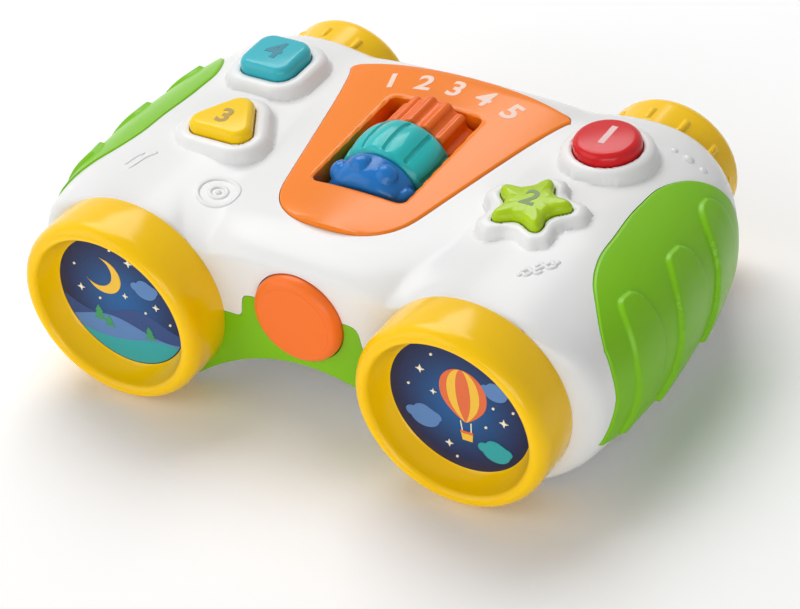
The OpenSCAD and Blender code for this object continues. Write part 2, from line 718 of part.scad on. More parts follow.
// Panel with a crowned top that follows the body, a flat underside and the roller window
module centre_panel() {
  cols = 12;
  rows = len(panel_steps);
  grid = [for (s = panel_steps) for (j = [0:cols]) panel_point(s, 2 * j / cols - 1, 0)];
  count = len(grid);
  w = cols + 1;
  function crown(q, j) = body_top(q[0], q[1]) + 0.3 + panel_crown * (1 - pow(2 * j / cols - 1, 2));
  color("darkorange") placed() difference() {
    polyhedron(
      points = concat([for (i = [0:count - 1]) [grid[i][0], grid[i][1], crown(grid[i], i % w)]],
        [for (q = grid) [q[0], q[1], panel_floor]]),
      faces = concat(
        [for (r = [0:rows - 2]) for (j = [0:cols - 1]) [r * w + j, (r + 1) * w + j, (r + 1) * w + j + 1]],
        [for (r = [0:rows - 2]) for (j = [0:cols - 1]) [r * w + j, (r + 1) * w + j + 1, r * w + j + 1]],
        [for (r = [0:rows - 2]) for (j = [0:cols - 1])
          [count + r * w + j, count + (r + 1) * w + j + 1, count + (r + 1) * w + j]],
        [for (r = [0:rows - 2]) for (j = [0:cols - 1])
          [count + r * w + j, count + r * w + j + 1, count + (r + 1) * w + j + 1]],
        [for (j = [0:cols - 1]) [j, j + 1, count + j + 1, count + j]],
        [for (j = [0:cols - 1]) let (k = (rows - 1) * w + j) [k + 1, k, count + k, count + k + 1]],
        [for (r = [0:rows - 2]) let (k = r * w) [k + w, k, count + k, count + k + w]],
        [for (r = [0:rows - 2]) let (k = r * w + cols) [k, k + w, count + k + w, count + k]]),
      convexity = 6);
    translate([0, window_front + window_length / 2, panel_floor - 1]) linear_extrude(20)
      soft_rect(2 * window_half, window_length, 2.5);
  }
}

// Front ring: rounded rim, conical throat to the picture, a skirt in the socket and a spigot in the body
module ring(s) {
  r = ring_radius;
  throat = r - 2 * rim_round;
  color("gold") placed() along(s * axis_x, -ring_reach, 0) rotate_extrude() {
    difference() {
      union() {
        translate([r - rim_round, rim_round]) circle(rim_round);
        translate([r - ring_wall, rim_round]) square([ring_wall, ring_reach + ring_socket - rim_round]);
        polygon([[throat, rim_round], [r - rim_round, 2 * rim_round], [r - ring_wall + eps, 2 * rim_round + 5],
          [spigot_radius, 2 * rim_round + 7.6], [spigot_radius, ring_reach + front_wall + 1.4],
          [disc_radius + 0.1, ring_reach + front_wall + 1.4], [disc_radius + 0.1, disc_depth],
          [view_radius, disc_depth], [view_radius, disc_depth - 0.4]]);
        polygon([[throat, rim_round], [r - rim_round, rim_round], [r - rim_round, 2 * rim_round + 5],
          [r - ring_wall, 2 * rim_round + 5]]);
      }
      translate([0, disc_depth]) square([disc_radius + 0.1, 60]);
    }
  }
}
module left_ring() {
  ring(-1);
}
module right_ring() {
  ring(1);
}

module picture_disc(s) {
  color("midnightblue") placed() along(s * axis_x, disc_depth - ring_reach, 0) cylinder(h = disc_thick, r = disc_radius);
}
module left_picture_disc() {
  picture_disc(-1);
}
module right_picture_disc() {
  picture_disc(1);
}
module disc_retainer(s) {
  color("gray") placed() along(s * axis_x, disc_depth + disc_thick - ring_reach, 0) difference() {
    cylinder(h = retainer_thick, r = disc_radius + 0.05);
    translate([0, 0, -1]) cylinder(h = retainer_thick + 2, r = disc_radius - 3);
  }
}
module left_disc_retainer() {
  disc_retainer(-1);
}
module right_disc_retainer() {
  disc_retainer(1);
}

// Fixed tube for an eyepiece, with a flange behind the shell's rear wall and a groove for the clip
seat_from = cavity_rear - 5;
clip_at = eye_face + 6;
clip_thick = 1.5;
module eyepiece_seat(s) {
  color("dimgray") placed() along(s * axis_x, 0, 0) rotate_extrude() difference() {
    union() {
      translate([bearing_radius - bearing_wall, seat_from]) square([bearing_wall, clip_at + 3 - seat_from]);
      translate([bearing_radius - bearing_wall, cavity_rear - 2.2]) square([bearing_wall + 2.2, 2.2]);
      translate([bearing_radius - bearing_wall - 0.9, clip_at + 1.4]) square([1, 1.6]);
    }
    translate([bearing_radius - 0.5, clip_at]) square([1, clip_thick]);
  }
}
module left_eyepiece_seat() {
  eyepiece_seat(-1);
}
module right_eyepiece_seat() {
  eyepiece_seat(1);
}
module eyepiece_clip(s) {
  color("gray") placed() along(s * axis_x, clip_at, 0) difference() {
    cylinder(h = clip_thick, r = bearing_radius + 1.5);
    translate([0, 0, -1]) cylinder(h = clip_thick + 2, r = bearing_radius - 0.5);
  }
}
module left_eyepiece_clip() {
  eyepiece_clip(-1);
}
module right_eyepiece_clip() {
  eyepiece_clip(1);
}
module eye_window(s) {
  color("black") placed() along(s * axis_x, clip_at, 0)
    cylinder(h = 1.4, r = bearing_radius - bearing_wall - 0.05);
}
module left_eye_window() {
  eye_window(-1);
}
module right_eye_window() {
  eye_window(1);
}

// Turning eyepiece: a bearing bore, room for the clip, an eyecup and grip ribs
module eyepiece(s) {
  r = eyepiece_radius;
  color("gold") placed() along(s * axis_x, eye_face, 0) difference() {
    union() {
      rotate_extrude() {
        square([r, eyepiece_length - 2]);
        translate([0, eyepiece_length - 3]) square([r - 2, 3]);
        translate([r - 2, eyepiece_length - 2]) circle(2);
      }
      for (k = [0:eye_ribs - 1]) rotate([0, 0, 360 * k / eye_ribs + 8])
        translate([r + eye_rib_rise - eye_rib_radius, 0, 1.2]) cylinder(h = 8, r = eye_rib_radius, $fn = 24);
    }
    rotate_extrude() {
      translate([0, -1]) square([bearing_radius + turn_gap, 7 - end_play]);
      translate([0, 6 - end_play - eps]) square([bearing_radius + 1.5 + end_play, clip_thick + 2 * end_play + 1.6]);
      polygon([[0, 5], [bearing_radius - 2.8, 5], [bearing_radius - 2.8, eyepiece_length - 3.4],
        [bearing_radius + 0.4, eyepiece_length + eps], [0, eyepiece_length + eps]]);
    }
  }
}
module left_eyepiece() {
  eyepiece(-1);
}
module right_eyepiece() {
  eyepiece(1);
}

// Trough under the roller window; its end walls hold the axle
module roller_cradle() {
  length = cradle_rear - cradle_front;
  color("gray") placed() difference() {
    translate([-cradle_half, cradle_front, cradle_floor]) cube([2 * cradle_half, length, panel_floor - cradle_floor]);
    translate([-cradle_half + cradle_wall, cradle_front + cradle_wall, cradle_floor + cradle_wall])
      cube([2 * (cradle_half - cradle_wall), length - 2 * cradle_wall, 40]);
    along(0, cradle_front - 1, axle_height) cylinder(h = length + 2, r = axle_radius);
  }
}
module roller_axle() {
  color("silver") placed() along(0, cradle_front, axle_height) cylinder(h = cradle_rear - cradle_front, r = axle_radius);
}
module roller_bore(h) {
  translate([0, 0, -1]) cylinder(h = h + 2, r = axle_radius + turn_gap);
}
module blue_roller() {
  bump = 3.2;
  core = small_radius - 1.9;
  color("royalblue") placed() along(0, blue_from, axle_height) difference() {
    union() {
      rotate_extrude() {
        square([core, blue_width - 1.5]);
        square([core - 1.5, blue_width]);
        translate([core - 1.5, blue_width - 1.5]) circle(1.5);
      }
      for (k = [0:blue_bumps - 1]) rotate([0, 0, 360 * k / blue_bumps + 15])
        translate([small_radius - bump, 0, blue_width / 2]) sphere(bump, $fn = 32);
    }
    roller_bore(blue_width);
  }
}
module teal_roller() {
  color("turquoise") placed() along(0, teal_from, axle_height) difference() {
    rotate_extrude() {
      translate([0, 1.5]) square([teal_radius, teal_width - 3]);
      square([teal_radius - 1.5, teal_width]);
      for (h = [1.5, teal_width - 1.5]) translate([teal_radius - 1.5, h]) circle(1.5);
    }
    for (k = [0:teal_grooves - 1]) rotate([0, 0, 360 * k / teal_grooves + 6])
      translate([teal_radius, 0, 3]) cylinder(h = teal_width - 6, r = 0.9, $fn = 24);
    roller_bore(teal_width);
  }
}
module orange_roller() {
  rib = 3.2;
  color("orangered") placed() along(0, orange_from, axle_height) difference() {
    union() {
      cylinder(h = orange_width, r = small_radius - 2);
      for (k = [0:orange_ribs - 1]) rotate([0, 0, 360 * k / orange_ribs + 10])
        translate([small_radius - rib, 0, 0]) cylinder(h = orange_width, r = rib, $fn = 32);
    }
    roller_bore(orange_width);
  }
}

// Top button: a cap with an eased edge, a flange under the sleeve and a stem over its switch
module top_button(kind) {
  z = button_z(kind);
  f = flange_z(kind);
  translate([button_x(kind), button_v(kind), 0]) {
    translate([0, 0, f - eps]) linear_extrude(z - f - 1.3) outline(kind, 0);
    for (k = [1:3]) translate([0, 0, z - 1.4]) linear_extrude(1.4 - 1.3 * (1 - sin(30 * k)) - eps * k)
      outline(kind, -1.3 * (1 - cos(30 * k)));
    translate([0, 0, f - flange_thick]) linear_extrude(flange_thick) outline(kind, flange_width);
    translate([0, 0, stem_z]) cylinder(h = f - stem_z, r = 2.4);
  }
}
module round_button() {
  color("crimson") placed() top_button("round");
}
module star_button() {
  color("greenyellow") placed() top_button("star");
}
module triangle_button() {
  color("gold") placed() top_button("triangle");
}
module square_button() {
  color("mediumturquoise") placed() top_button("square");
}

// Large front button: eased face, flange behind the front wall, stem to its switch
front_stem_end = front_wall + 6;
front_board_at = front_stem_end + button_travel + 0.3 + switch_height;
front_board_foot = -5;
module front_button() {
  color("orange") placed() along(0, -big_rise, big_height) rotate_extrude() {
    polygon(concat([[0, 0]],
      [for (f = [0:15:90]) [big_radius - big_ease * (1 - sin(f)), (big_rise - 0.4) * (1 - cos(f))]],
      [[big_radius, big_rise + front_wall + 0.3], [0, big_rise + front_wall + 0.3]]));
    translate([0, big_rise + front_wall + 0.3]) square([big_radius + flange_width, flange_thick]);
    translate([0, big_rise]) square([2.6, front_stem_end]);
  }
}

// Boards and their key switches
module key_board(s) {
  color("seagreen") placed() translate([s * axis_x - board_width / 2, board_from, board_top - board_thick])
    cube([board_width, board_length, board_thick]);
}
module left_key_board() {
  key_board(-1);
}
module right_key_board() {
  key_board(1);
}
module front_key_board() {
  color("seagreen") placed() translate([-slot_half, front_board_at, front_board_foot])
    cube([2 * slot_half, board_thick, 22]);
}
module key_switch() {
  translate([-switch_side / 2, -switch_side / 2, 0]) cube([switch_side, switch_side, switch_height - 1.5]);
  cylinder(h = switch_height, r = 1.7);
}
module top_switch(kind) {
  color("dimgray") placed() translate([button_x(kind), button_v(kind), board_top]) key_switch();
}
module round_switch() {
  top_switch("round");
}
module star_switch() {
  top_switch("star");
}
module triangle_switch() {
  top_switch("triangle");
}
module square_switch() {
  top_switch("square");
}
module front_switch() {
  color("dimgray") placed() translate([0, front_board_at, big_height]) rotate([90, 0, 0]) key_switch();
}

module speaker() {
  color("black") placed() translate([-axis_x, speaker_at, inner_floor]) {
    difference() {
      cylinder(h = 3, r = speaker_radius);
      translate([0, 0, -1]) cylinder(h = 2.4, r1 = speaker_radius - 1, r2 = speaker_radius - 5);
    }
    translate([0, 0, 3 - eps]) cylinder(h = speaker_height - 3, r = 7);
  }
}

// Battery bay: a tray over the hole in the floor, two cells, end contacts, a door and its screw
module battery_tray() {
  color("gainsboro") placed() difference() {
    union() {
      translate([axis_x - bay_half - tray_wall, bay_at - tray_wall, inner_floor])
        cube([2 * (bay_half + tray_wall), bay_length + 2 * tray_wall, bay_roof + tray_wall - inner_floor]);
      translate([axis_x, door_screw_at, inner_floor]) cylinder(h = 8, r = pillar_radius);
    }
    translate([axis_x - bay_half, bay_at, inner_floor - 1]) cube([2 * bay_half, bay_length, bay_roof - inner_floor + 1]);
    translate([axis_x, door_screw_at, inner_floor - 1]) cylinder(h = 8, r = screw_radius + 0.05);
  }
}
module cells() {
  color("slategray") placed() for (s = [-1, 1])
    along(axis_x + s * (cell_diameter / 2 + 0.15), bay_at + bay_length / 2 - cell_length / 2,
      door_seat + cell_diameter / 2) {
      translate([0, 0, s > 0 ? 0 : 1]) cylinder(h = cell_length - 1, r = cell_diameter / 2);
      cylinder(h = cell_length, r = 1.9);
    }
}
module contact(front) {
  v = front ? bay_at : bay_at + bay_length - 0.5;
  reach = (bay_length - cell_length) / 2;
  color("silver") placed() {
    translate([axis_x - bay_half + 0.3, v, door_seat + 1]) cube([2 * bay_half - 0.6, 0.5, cell_diameter - 1.5]);
    for (s = [-1, 1]) along(axis_x + s * (cell_diameter / 2 + 0.15),
      front ? v : bay_at + bay_length - reach, door_seat + cell_diameter / 2) cylinder(h = reach, r = 1.9);
  }
}
module front_contact() {
  contact(true);
}
module rear_contact() {
  contact(false);
}
module battery_door() {
  color("white") placed() difference() {
    translate([axis_x - door_half, door_from, floor_z + 0.1])
      cube([2 * door_half, door_to - door_from, door_thick]);
    translate([axis_x, door_screw_at, floor_z - 1]) cylinder(h = 4, r = screw_radius + 0.25);
  }
}
module door_screw() {
  color("silver") placed() translate([axis_x, door_screw_at, floor_z + 0.1]) {
    cylinder(h = door_thick - 0.7, r = screw_radius + 0.2);
    cylinder(h = 8, r = screw_radius);
  }
}

// Power switch: a bezel with a sunk pocket and a slider that runs in its slot
power_length = power_travel + 12;
module power_bezel() {
  color("dimgray") placed() translate([-axis_x, power_at, 0]) difference() {
    union() {
      translate([0, 0, floor_z + 0.2]) linear_extrude(wall + 1.6) square([9, power_length], center = true);
      translate([0, 0, inner_floor]) linear_extrude(1.4) square([13, power_length + 4], center = true);
    }
    translate([0, 0, floor_z - 1]) linear_extrude(1 + 2.8) square([6.4, power_length - 2.6], center = true);
    translate([0, 0, floor_z]) linear_extrude(8) square([2.8 + slide_gap, power_travel + 4 + 2 * slide_gap], center = true);
  }
}
module power_slider() {
  roof = floor_z + 0.2 + wall + 1.6;
  color("orangered") placed() translate([-axis_x, power_at - power_travel / 2, 0]) {
    translate([-2.6, -3, floor_z + 0.6]) cube([5.2, 6, 1.9]);
    translate([-1.4, -2, floor_z + 0.6]) cube([2.8, 4, roof + 1.5 - floor_z - 0.6]);
    translate([-3.2, -3, roof + 0.3]) cube([6.4, 6, 1.4]);
  }
}

module housing_screws() {
  color("silver") placed() for (q = screws) translate([q[0], q[1], -6]) {
    translate([0, 0, -2]) cylinder(h = 2, r = head_radius);
    translate([0, 0, -1]) cylinder(h = 17, r = screw_radius);
  }
}

upper_shell();
lower_shell();
upper_posts();
lower_posts();
front_bridge();
left_grip_upper();
left_grip_lower();
right_grip_upper();
right_grip_lower();
centre_panel();
left_ring();
right_ring();
left_picture_disc();
right_picture_disc();
left_disc_retainer();
right_disc_retainer();
left_eyepiece_seat();
right_eyepiece_seat();
left_eyepiece();
right_eyepiece();
left_eyepiece_clip();
right_eyepiece_clip();
left_eye_window();
right_eye_window();
roller_cradle();
roller_axle();
blue_roller();
teal_roller();
orange_roller();
round_button();
star_button();
triangle_button();
square_button();
front_button();
left_key_board();
right_key_board();
front_key_board();
round_switch();
star_switch();
triangle_switch();
square_switch();
front_switch();
speaker();
battery_tray();
cells();
front_contact();
rear_contact();
battery_door();
door_screw();
power_bezel();
power_slider();
housing_screws();
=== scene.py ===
"""Toy binoculars: the finish of every surface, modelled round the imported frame."""
import math

import bmesh
import bpy
import numpy as np
from bpy.props import FloatProperty, FloatVectorProperty, IntProperty, PointerProperty
from mathutils import Matrix, Vector


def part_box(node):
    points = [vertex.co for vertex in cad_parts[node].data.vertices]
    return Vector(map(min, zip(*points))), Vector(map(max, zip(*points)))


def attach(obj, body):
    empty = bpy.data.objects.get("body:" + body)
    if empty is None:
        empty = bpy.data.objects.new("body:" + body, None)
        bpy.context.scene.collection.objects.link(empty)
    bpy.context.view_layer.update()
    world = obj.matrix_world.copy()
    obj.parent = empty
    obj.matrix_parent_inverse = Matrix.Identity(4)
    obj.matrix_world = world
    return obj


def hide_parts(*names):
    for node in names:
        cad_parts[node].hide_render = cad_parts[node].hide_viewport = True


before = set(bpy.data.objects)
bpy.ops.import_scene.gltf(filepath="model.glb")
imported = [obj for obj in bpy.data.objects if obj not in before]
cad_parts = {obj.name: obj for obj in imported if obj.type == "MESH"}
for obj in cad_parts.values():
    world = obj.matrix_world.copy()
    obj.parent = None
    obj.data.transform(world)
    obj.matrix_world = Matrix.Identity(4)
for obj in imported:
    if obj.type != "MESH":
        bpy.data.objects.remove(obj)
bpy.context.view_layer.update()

bl_info = {
    "name": "Toy binoculars",
    "version": (1, 0, 0),
    "blender": (4, 5, 0),
    "location": "View3D > Sidebar > Binoculars",
    "description": "Builds a child's toy binoculars round its mechanical frame",
    "category": "Object",
}

MM = 0.001
BODY = "housing"


def box_mm(node):
    """Lowest and highest corner of a frame node in millimetres."""
    low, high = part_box(node)
    return np.array(low) / MM, np.array(high) / MM


# Places read from the frame, in millimetres
RING_LOW, RING_HIGH = box_mm("right_ring")
SHELL_LOW, SHELL_HIGH = box_mm("lower_shell")
AXIS_X = (RING_LOW[0] + RING_HIGH[0]) / 2
AXIS_Z = (RING_LOW[2] + RING_HIGH[2]) / 2
FRONT_Y = SHELL_LOW[1]
BODY_LENGTH = SHELL_HIGH[1] - SHELL_LOW[1]
RING_RADIUS = (RING_HIGH[0] - RING_LOW[0]) / 2
RING_FRONT = RING_LOW[1] - FRONT_Y
ORIGIN = np.array([0, FRONT_Y, AXIS_Z])


def extent(node):
    """Lowest and highest corner of a node in the working frame.

    In it x runs across, v back from the front wall and z up from the barrel axes.
    """
    low, high = box_mm(node)
    return low - ORIGIN, high - ORIGIN


def middle(node):
    """Middle of a node in the working frame."""
    low, high = extent(node)
    return (low + high) / 2


def plan(node, gap):
    """Corners of the rectangle that a node fills from above, grown by a gap."""
    low, high = extent(node)
    (x0, v0), (x1, v1) = low[:2] - gap, high[:2] + gap
    return [(x0, v0), (x1, v0), (x1, v1), (x0, v1)]


# Smooth shapes that the body is made of

def ramp(start, end, t):
    """Smooth step from 0 at start to 1 at end."""
    u = np.clip((t - start) / (end - start), 0, 1)
    return u * u * (3 - 2 * u)


def soft_max(a, b, k):
    """Larger of two heights, with a blend of size k where they meet."""
    h = np.maximum(k - np.abs(a - b), 0) / k
    return np.maximum(a, b) + h * h * k / 4


def soft_min(a, b, k):
    return -soft_max(-a, -b, k)


def round_drop(amount, t):
    """Drop of a rounded edge: none at t = 0, all of it at t = 1."""
    u = np.clip(t, 0, 1)
    return amount * (1 - np.sqrt(1 - u * u))


def eased(amount, length, gap):
    """Drop of an edge that is rounded over a length, at a gap inside the edge."""
    return round_drop(amount, (length - gap) / length)


def swell(t, power):
    """Height of a full rounded form: 1 in the middle, 0 at t = 1."""
    return np.maximum(0, 1 - np.minimum(1, np.abs(t)) ** power) ** (1 / power)


def curve_through(points, count):
    """Even points on a smooth curve through the given ones."""
    p = np.asarray(points, float)
    p = np.vstack([2 * p[0] - p[1], p, 2 * p[-1] - p[-2]])
    out = []
    for i in range(1, len(p) - 2):
        t = np.linspace(0, 1, 24, endpoint=False)[:, None]
        a, b, c, d = p[i - 1], p[i], p[i + 1], p[i + 2]
        out.append(0.5 * (2 * b + (c - a) * t + (2 * a - 5 * b + 4 * c - d) * t ** 2
                          + (3 * b - a - 3 * c + d) * t ** 3))
    fine = np.vstack(out + [p[-2:-1]])
    run = np.concatenate([[0], np.cumsum(np.linalg.norm(np.diff(fine, axis=0), axis=1))])
    at = np.linspace(0, run[-1], count)
    return np.stack([np.interp(at, run, fine[:, k]) for k in range(fine.shape[1])], axis=1)


class BodyForm:
    """Outer form of the housing: x across, v back from the front wall, z up from the barrel axes."""

    SIDE_POWER, INNER_POWER, LOW_POWER, HUMP_POWER = 2.5, 2.3, 2.4, 3
    FLAT, BELOW = AXIS_Z, 0.5
    WIDEST, SHOULDER = 43.0, 7.0
    TAPER_FRONT, TAPER_REAR = 0.0032, 0.0022
    REAR_LENGTH, REAR_DROP = 26, 10
    LIFT_LENGTH, REAR_LIFT = 17, 9
    TOP_FALL, FALL_LEAD, FALL_SOFT = 0.07, 2, 12
    INNER_REACH, HUMP_HALF, HUMP_FLARE = 30, 44, 26
    ARCH_FALL = 0.0096

    def __init__(self, sizes):
        self.half = sizes.body_half / MM
        self.barrel = sizes.barrel_height / MM
        self.middle = sizes.middle_height / MM
        self.arch = AXIS_Z - sizes.arch_height / MM
        self.rear_start = BODY_LENGTH - self.REAR_LENGTH

    def half_width(self, v):
        taper = np.where(v < self.WIDEST, self.TAPER_FRONT, self.TAPER_REAR) * (v - self.WIDEST) ** 2
        ends = eased(self.SHOULDER, self.SHOULDER, v) + eased(self.REAR_DROP, self.REAR_LENGTH, BODY_LENGTH - v)
        return self.half - taper - ends

    def barrel_top(self, v):
        d = np.maximum(0, v - self.WIDEST + self.FALL_LEAD)
        ends = eased(1.5, 4, v) + eased(1.5, 10, BODY_LENGTH - v)
        return self.barrel - self.TOP_FALL * d * d / (d + self.FALL_SOFT) - ends

    def hump(self, x, v):
        """Low crown between the barrels."""
        crown = self.middle - eased(6, 17, v) - eased(8, 13, BODY_LENGTH - v)
        return crown * swell(x / (self.HUMP_HALF + self.HUMP_FLARE * ramp(0, 33, v)), self.HUMP_POWER)

    def inner_top(self, x, v):
        """Top between the barrel axes, with a blend that narrows towards the rear."""
        barrel = self.barrel_top(v) * swell((AXIS_X - np.abs(x)) / self.INNER_REACH, self.INNER_POWER)
        return soft_max(barrel, self.hump(x, v), 10 - 5 * ramp(8, 30, v))

    def top(self, x, v):
        side = self.barrel_top(v) * swell((np.abs(x) - AXIS_X) / (self.half_width(v) - AXIS_X), self.SIDE_POWER)
        return np.where(np.abs(x) < AXIS_X, self.inner_top(x, v), side)

    def rear_lift(self, v):
        return 1 - eased(self.REAR_LIFT, self.LIFT_LENGTH, BODY_LENGTH - v) / self.FLAT

    def inner_low(self, x, v, inset=0):
        """Depth of the underside below the axes, between them: the finger arch, run out to the flat."""
        full = soft_min(self.arch + self.ARCH_FALL * x * x, self.FLAT + self.BELOW, 4)
        return soft_min(full, self.FLAT, 1) * self.rear_lift(v) - inset

    def side_upper(self, v, angle, grow=0.0):
        """Point on the outer side above the parting line; angle runs from 0 on top to 90 degrees at the line."""
        a = self.half_width(v) + grow - AXIS_X
        p = 2 / self.SIDE_POWER
        return AXIS_X + a * np.sin(angle) ** p, (self.barrel_top(v) + grow) * np.cos(angle) ** p

    def side_lower(self, v, angle, grow=0.0):
        """Point on the outer side below the parting line."""
        a = self.half_width(v) + grow - AXIS_X
        p = 2 / self.LOW_POWER
        lift = self.rear_lift(v)
        deep = ((self.FLAT + self.BELOW) * lift + grow) * np.cos(angle) ** p
        return AXIS_X + a * np.sin(angle) ** p, -soft_min(deep, self.FLAT * lift + grow, 1)


def even_angles(count, a, b, power):
    """Angles from the parting line (90 degrees) to the axis (0) that lie evenly along a rounded quarter."""
    f = np.linspace(0, math.pi / 2, 2000)
    x, z = a * np.sin(f) ** (2 / power), b * np.cos(f) ** (2 / power)
    run = np.concatenate([[0], np.cumsum(np.hypot(np.diff(x), np.diff(z)))])
    return np.interp(np.linspace(run[-1], 0, count + 1), run, f)


# Mesh helpers: everything is drawn in millimetres in the working frame and set down in metres

def placed(points):
    """Points of the working frame in metres."""
    return (np.asarray(points, float).reshape(-1, 3) + ORIGIN) * MM


def make_mesh(name, points, faces):
    """Mesh of closed shapes, with merged points and faces that look outwards."""
    mesh = bpy.data.meshes.new(name)
    mesh.from_pydata(placed(points).tolist(), [], [tuple(map(int, f)) for f in faces])
    work = bmesh.new()
    work.from_mesh(mesh)
    bmesh.ops.remove_doubles(work, verts=work.verts, dist=1e-7)
    bmesh.ops.recalc_face_normals(work, faces=work.faces)
    work.to_mesh(mesh)
    work.free()
    return mesh


def add_object(name, mesh):
    obj = bpy.data.objects.new(name, mesh)
    bpy.context.scene.collection.objects.link(obj)
    return obj


def piece(name, shape, material, slot, body=BODY, replaces=(), angle=38, cuts=(), at=None):
    """Adds a closed shape as a visible piece: cut, smoothed up to an angle, coloured and tied to its body."""
    obj = add_object(name, make_mesh(name, *shape))
    if cuts:
        carve(obj, cuts)
    if at is not None:
        obj.location = at
    obj.data.materials.clear()
    obj.data.materials.append(material)
    obj.data.shade_smooth()
    obj.data.set_sharp_from_angle(angle=math.radians(angle))
    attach(obj, body)
    if replaces:
        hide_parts(*replaces)


def grid_faces(rows, cols, start=0, flip=False, wrap=False):
    """Faces of a grid of points; wrap closes each row to a ring."""
    faces = []
    for j in range(rows - 1):
        for i in range(cols if wrap else cols - 1):
            k = (i + 1) % cols
            q = (start + j * cols + i, start + j * cols + k, start + (j + 1) * cols + k, start + (j + 1) * cols + i)
            faces.append(q[::-1] if flip else q)
    return faces


def grid_edge(rows, cols):
    """Points round the edge of a grid."""
    at = np.arange(rows * cols).reshape(rows, cols)
    return np.concatenate([at[0], at[1:, -1], at[-1, -2::-1], at[-2:0:-1, 0]]).tolist()


def slab(upper, lower):
    """Closed solid between two grids of points of the same shape."""
    rows, cols = upper.shape[:2]
    n = rows * cols
    faces = grid_faces(rows, cols) + grid_faces(rows, cols, n, flip=True)
    edge = grid_edge(rows, cols)
    for a, b in zip(edge, edge[1:] + edge[:1]):
        faces.append((b, a, n + a, n + b))
    return np.concatenate([upper.reshape(-1, 3), lower.reshape(-1, 3)]), faces


def tube_faces(rings, count, loop=False):
    """Faces of a row of rings, with its ends closed or joined to each other."""
    if loop:
        return [tuple(k % (rings * count) for k in f) for f in grid_faces(rings + 1, count, wrap=True)]
    last = (rings - 1) * count
    ends = [tuple(range(count - 1, -1, -1)), tuple(range(last, last + count))]
    return grid_faces(rings, count, wrap=True) + ends


def lathe(profile, centre, count=128, ripple=None, loop=False):
    """Solid of revolution about a line along the body.

    Its profile is (radius, v) from end to end, or a loop for a ring.
    """
    prof = np.asarray(profile, float)
    turn = np.linspace(0, 2 * math.pi, count, endpoint=False)
    r, v = (np.repeat(prof[:, k:k + 1], count, axis=1) for k in (0, 1))
    if ripple is not None:
        r = r + ripple(turn[None, :], r, v)
    pts = np.stack([centre[0] + r * np.cos(turn), v, centre[1] + r * np.sin(turn)], axis=2)
    return pts.reshape(-1, 3), tube_faces(len(prof), count, loop)


def oval(x, y, wide, high=None, count=48):
    """Outline of an oval, or of a circle where no height is given."""
    t = np.linspace(0, 2 * math.pi, count, endpoint=False)
    return np.column_stack([x + wide * np.cos(t), y + (high or wide) * np.sin(t)])


def prism(outline, low, high, axis="z"):
    """Closed prism over an outline; axis z stands it up, axis v lays it along the body."""
    o = np.asarray(outline, float)
    n = len(o)

    def level(h):
        if axis == "z":
            return np.column_stack([o, np.full(n, h)])
        return np.column_stack([o[:, 0], np.full(n, h), o[:, 1]])
    faces = [(i, (i + 1) % n, n + (i + 1) % n, n + i) for i in range(n)]
    faces += [tuple(range(n - 1, -1, -1)), tuple(range(n, 2 * n))]
    return np.concatenate([level(low), level(high)]), faces


def joined(shapes):
    """Several closed shapes as one list of points and faces."""
    points, faces, start = [], [], 0
    for p, f in shapes:
        p = np.asarray(p, float).reshape(-1, 3)
        points.append(p)
        faces += [tuple(start + k for k in q) for q in f]
        start += len(p)
    return np.concatenate(points), faces


def arc(centre, radius, start, end, count):
    """Points on an arc in a profile, angles in degrees."""
    t = np.radians(np.linspace(start, end, count))
    return [(centre[0] + radius * math.cos(a), centre[1] + radius * math.sin(a)) for a in t]


def ridge(path, wide, height, sides=12):
    """Closed round-backed ridge along a path on a surface, with round ends or joined to a ring."""
    path = np.asarray(path, float)
    spacing, ahead, sunk, squash = 0.4, 0.01, 0.12, 0.8
    run = np.concatenate([[0], np.cumsum(np.linalg.norm(np.diff(path, axis=0), axis=1))])
    loop = np.linalg.norm(path[0] - path[-1]) < 1e-6
    at = np.linspace(0, run[-1], max(4, int(run[-1] / spacing)))
    if loop:
        at = at[:-1]
    else:
        cap = wide * np.sin(np.radians(np.linspace(-90, 0, 6)))
        at = np.concatenate([cap[:-1], at, run[-1] - cap[::-1][1:]])
    inside = np.clip(at, 0, run[-1])

    def along(place):
        return np.stack([np.interp(place, run, path[:, k]) for k in (0, 1)])
    front = np.clip(inside + ahead, 0, run[-1])
    way = along(front) - along(front - 2 * ahead)
    way = way / np.hypot(*way)
    x, v = along(inside) + way * (at - inside)
    r = np.sqrt(np.maximum(wide ** 2 - (at - inside) ** 2, 1e-4))[:, None]
    turn = np.linspace(0, 2 * math.pi, sides, endpoint=False)
    px = x[:, None] - way[1][:, None] * r * np.cos(turn)
    pv = v[:, None] + way[0][:, None] * r * np.cos(turn)
    pz = height(px, pv) - sunk + squash * r * np.sin(turn)
    return np.stack([px, pv, pz], axis=2).reshape(-1, 3), tube_faces(len(x), sides, loop)


def stamped(text, x, v, turn, size, height):
    """Raised figures that follow a surface: points and faces in the working frame."""
    curve = bpy.data.curves.new("figure", "FONT")
    curve.body = text
    curve.align_x, curve.align_y = "CENTER", "CENTER"
    curve.size, curve.extrude, curve.offset = size, 0.1, 0.028 * size
    curve.resolution_u = 6
    shape = add_object("figure", curve)
    mesh = bpy.data.meshes.new_from_object(shape.evaluated_get(bpy.context.evaluated_depsgraph_get()))
    co = np.array([q.co for q in mesh.vertices])
    faces = [tuple(f.vertices) for f in mesh.polygons]
    bpy.data.objects.remove(shape)
    bpy.data.curves.remove(curve)
    bpy.data.meshes.remove(mesh)
    c, n = math.cos(turn), math.sin(turn)
    px, pv = x + c * co[:, 0] - n * co[:, 1], v + n * co[:, 0] + c * co[:, 1]
    return np.column_stack([px, pv, height(px, pv) + co[:, 2]]), faces


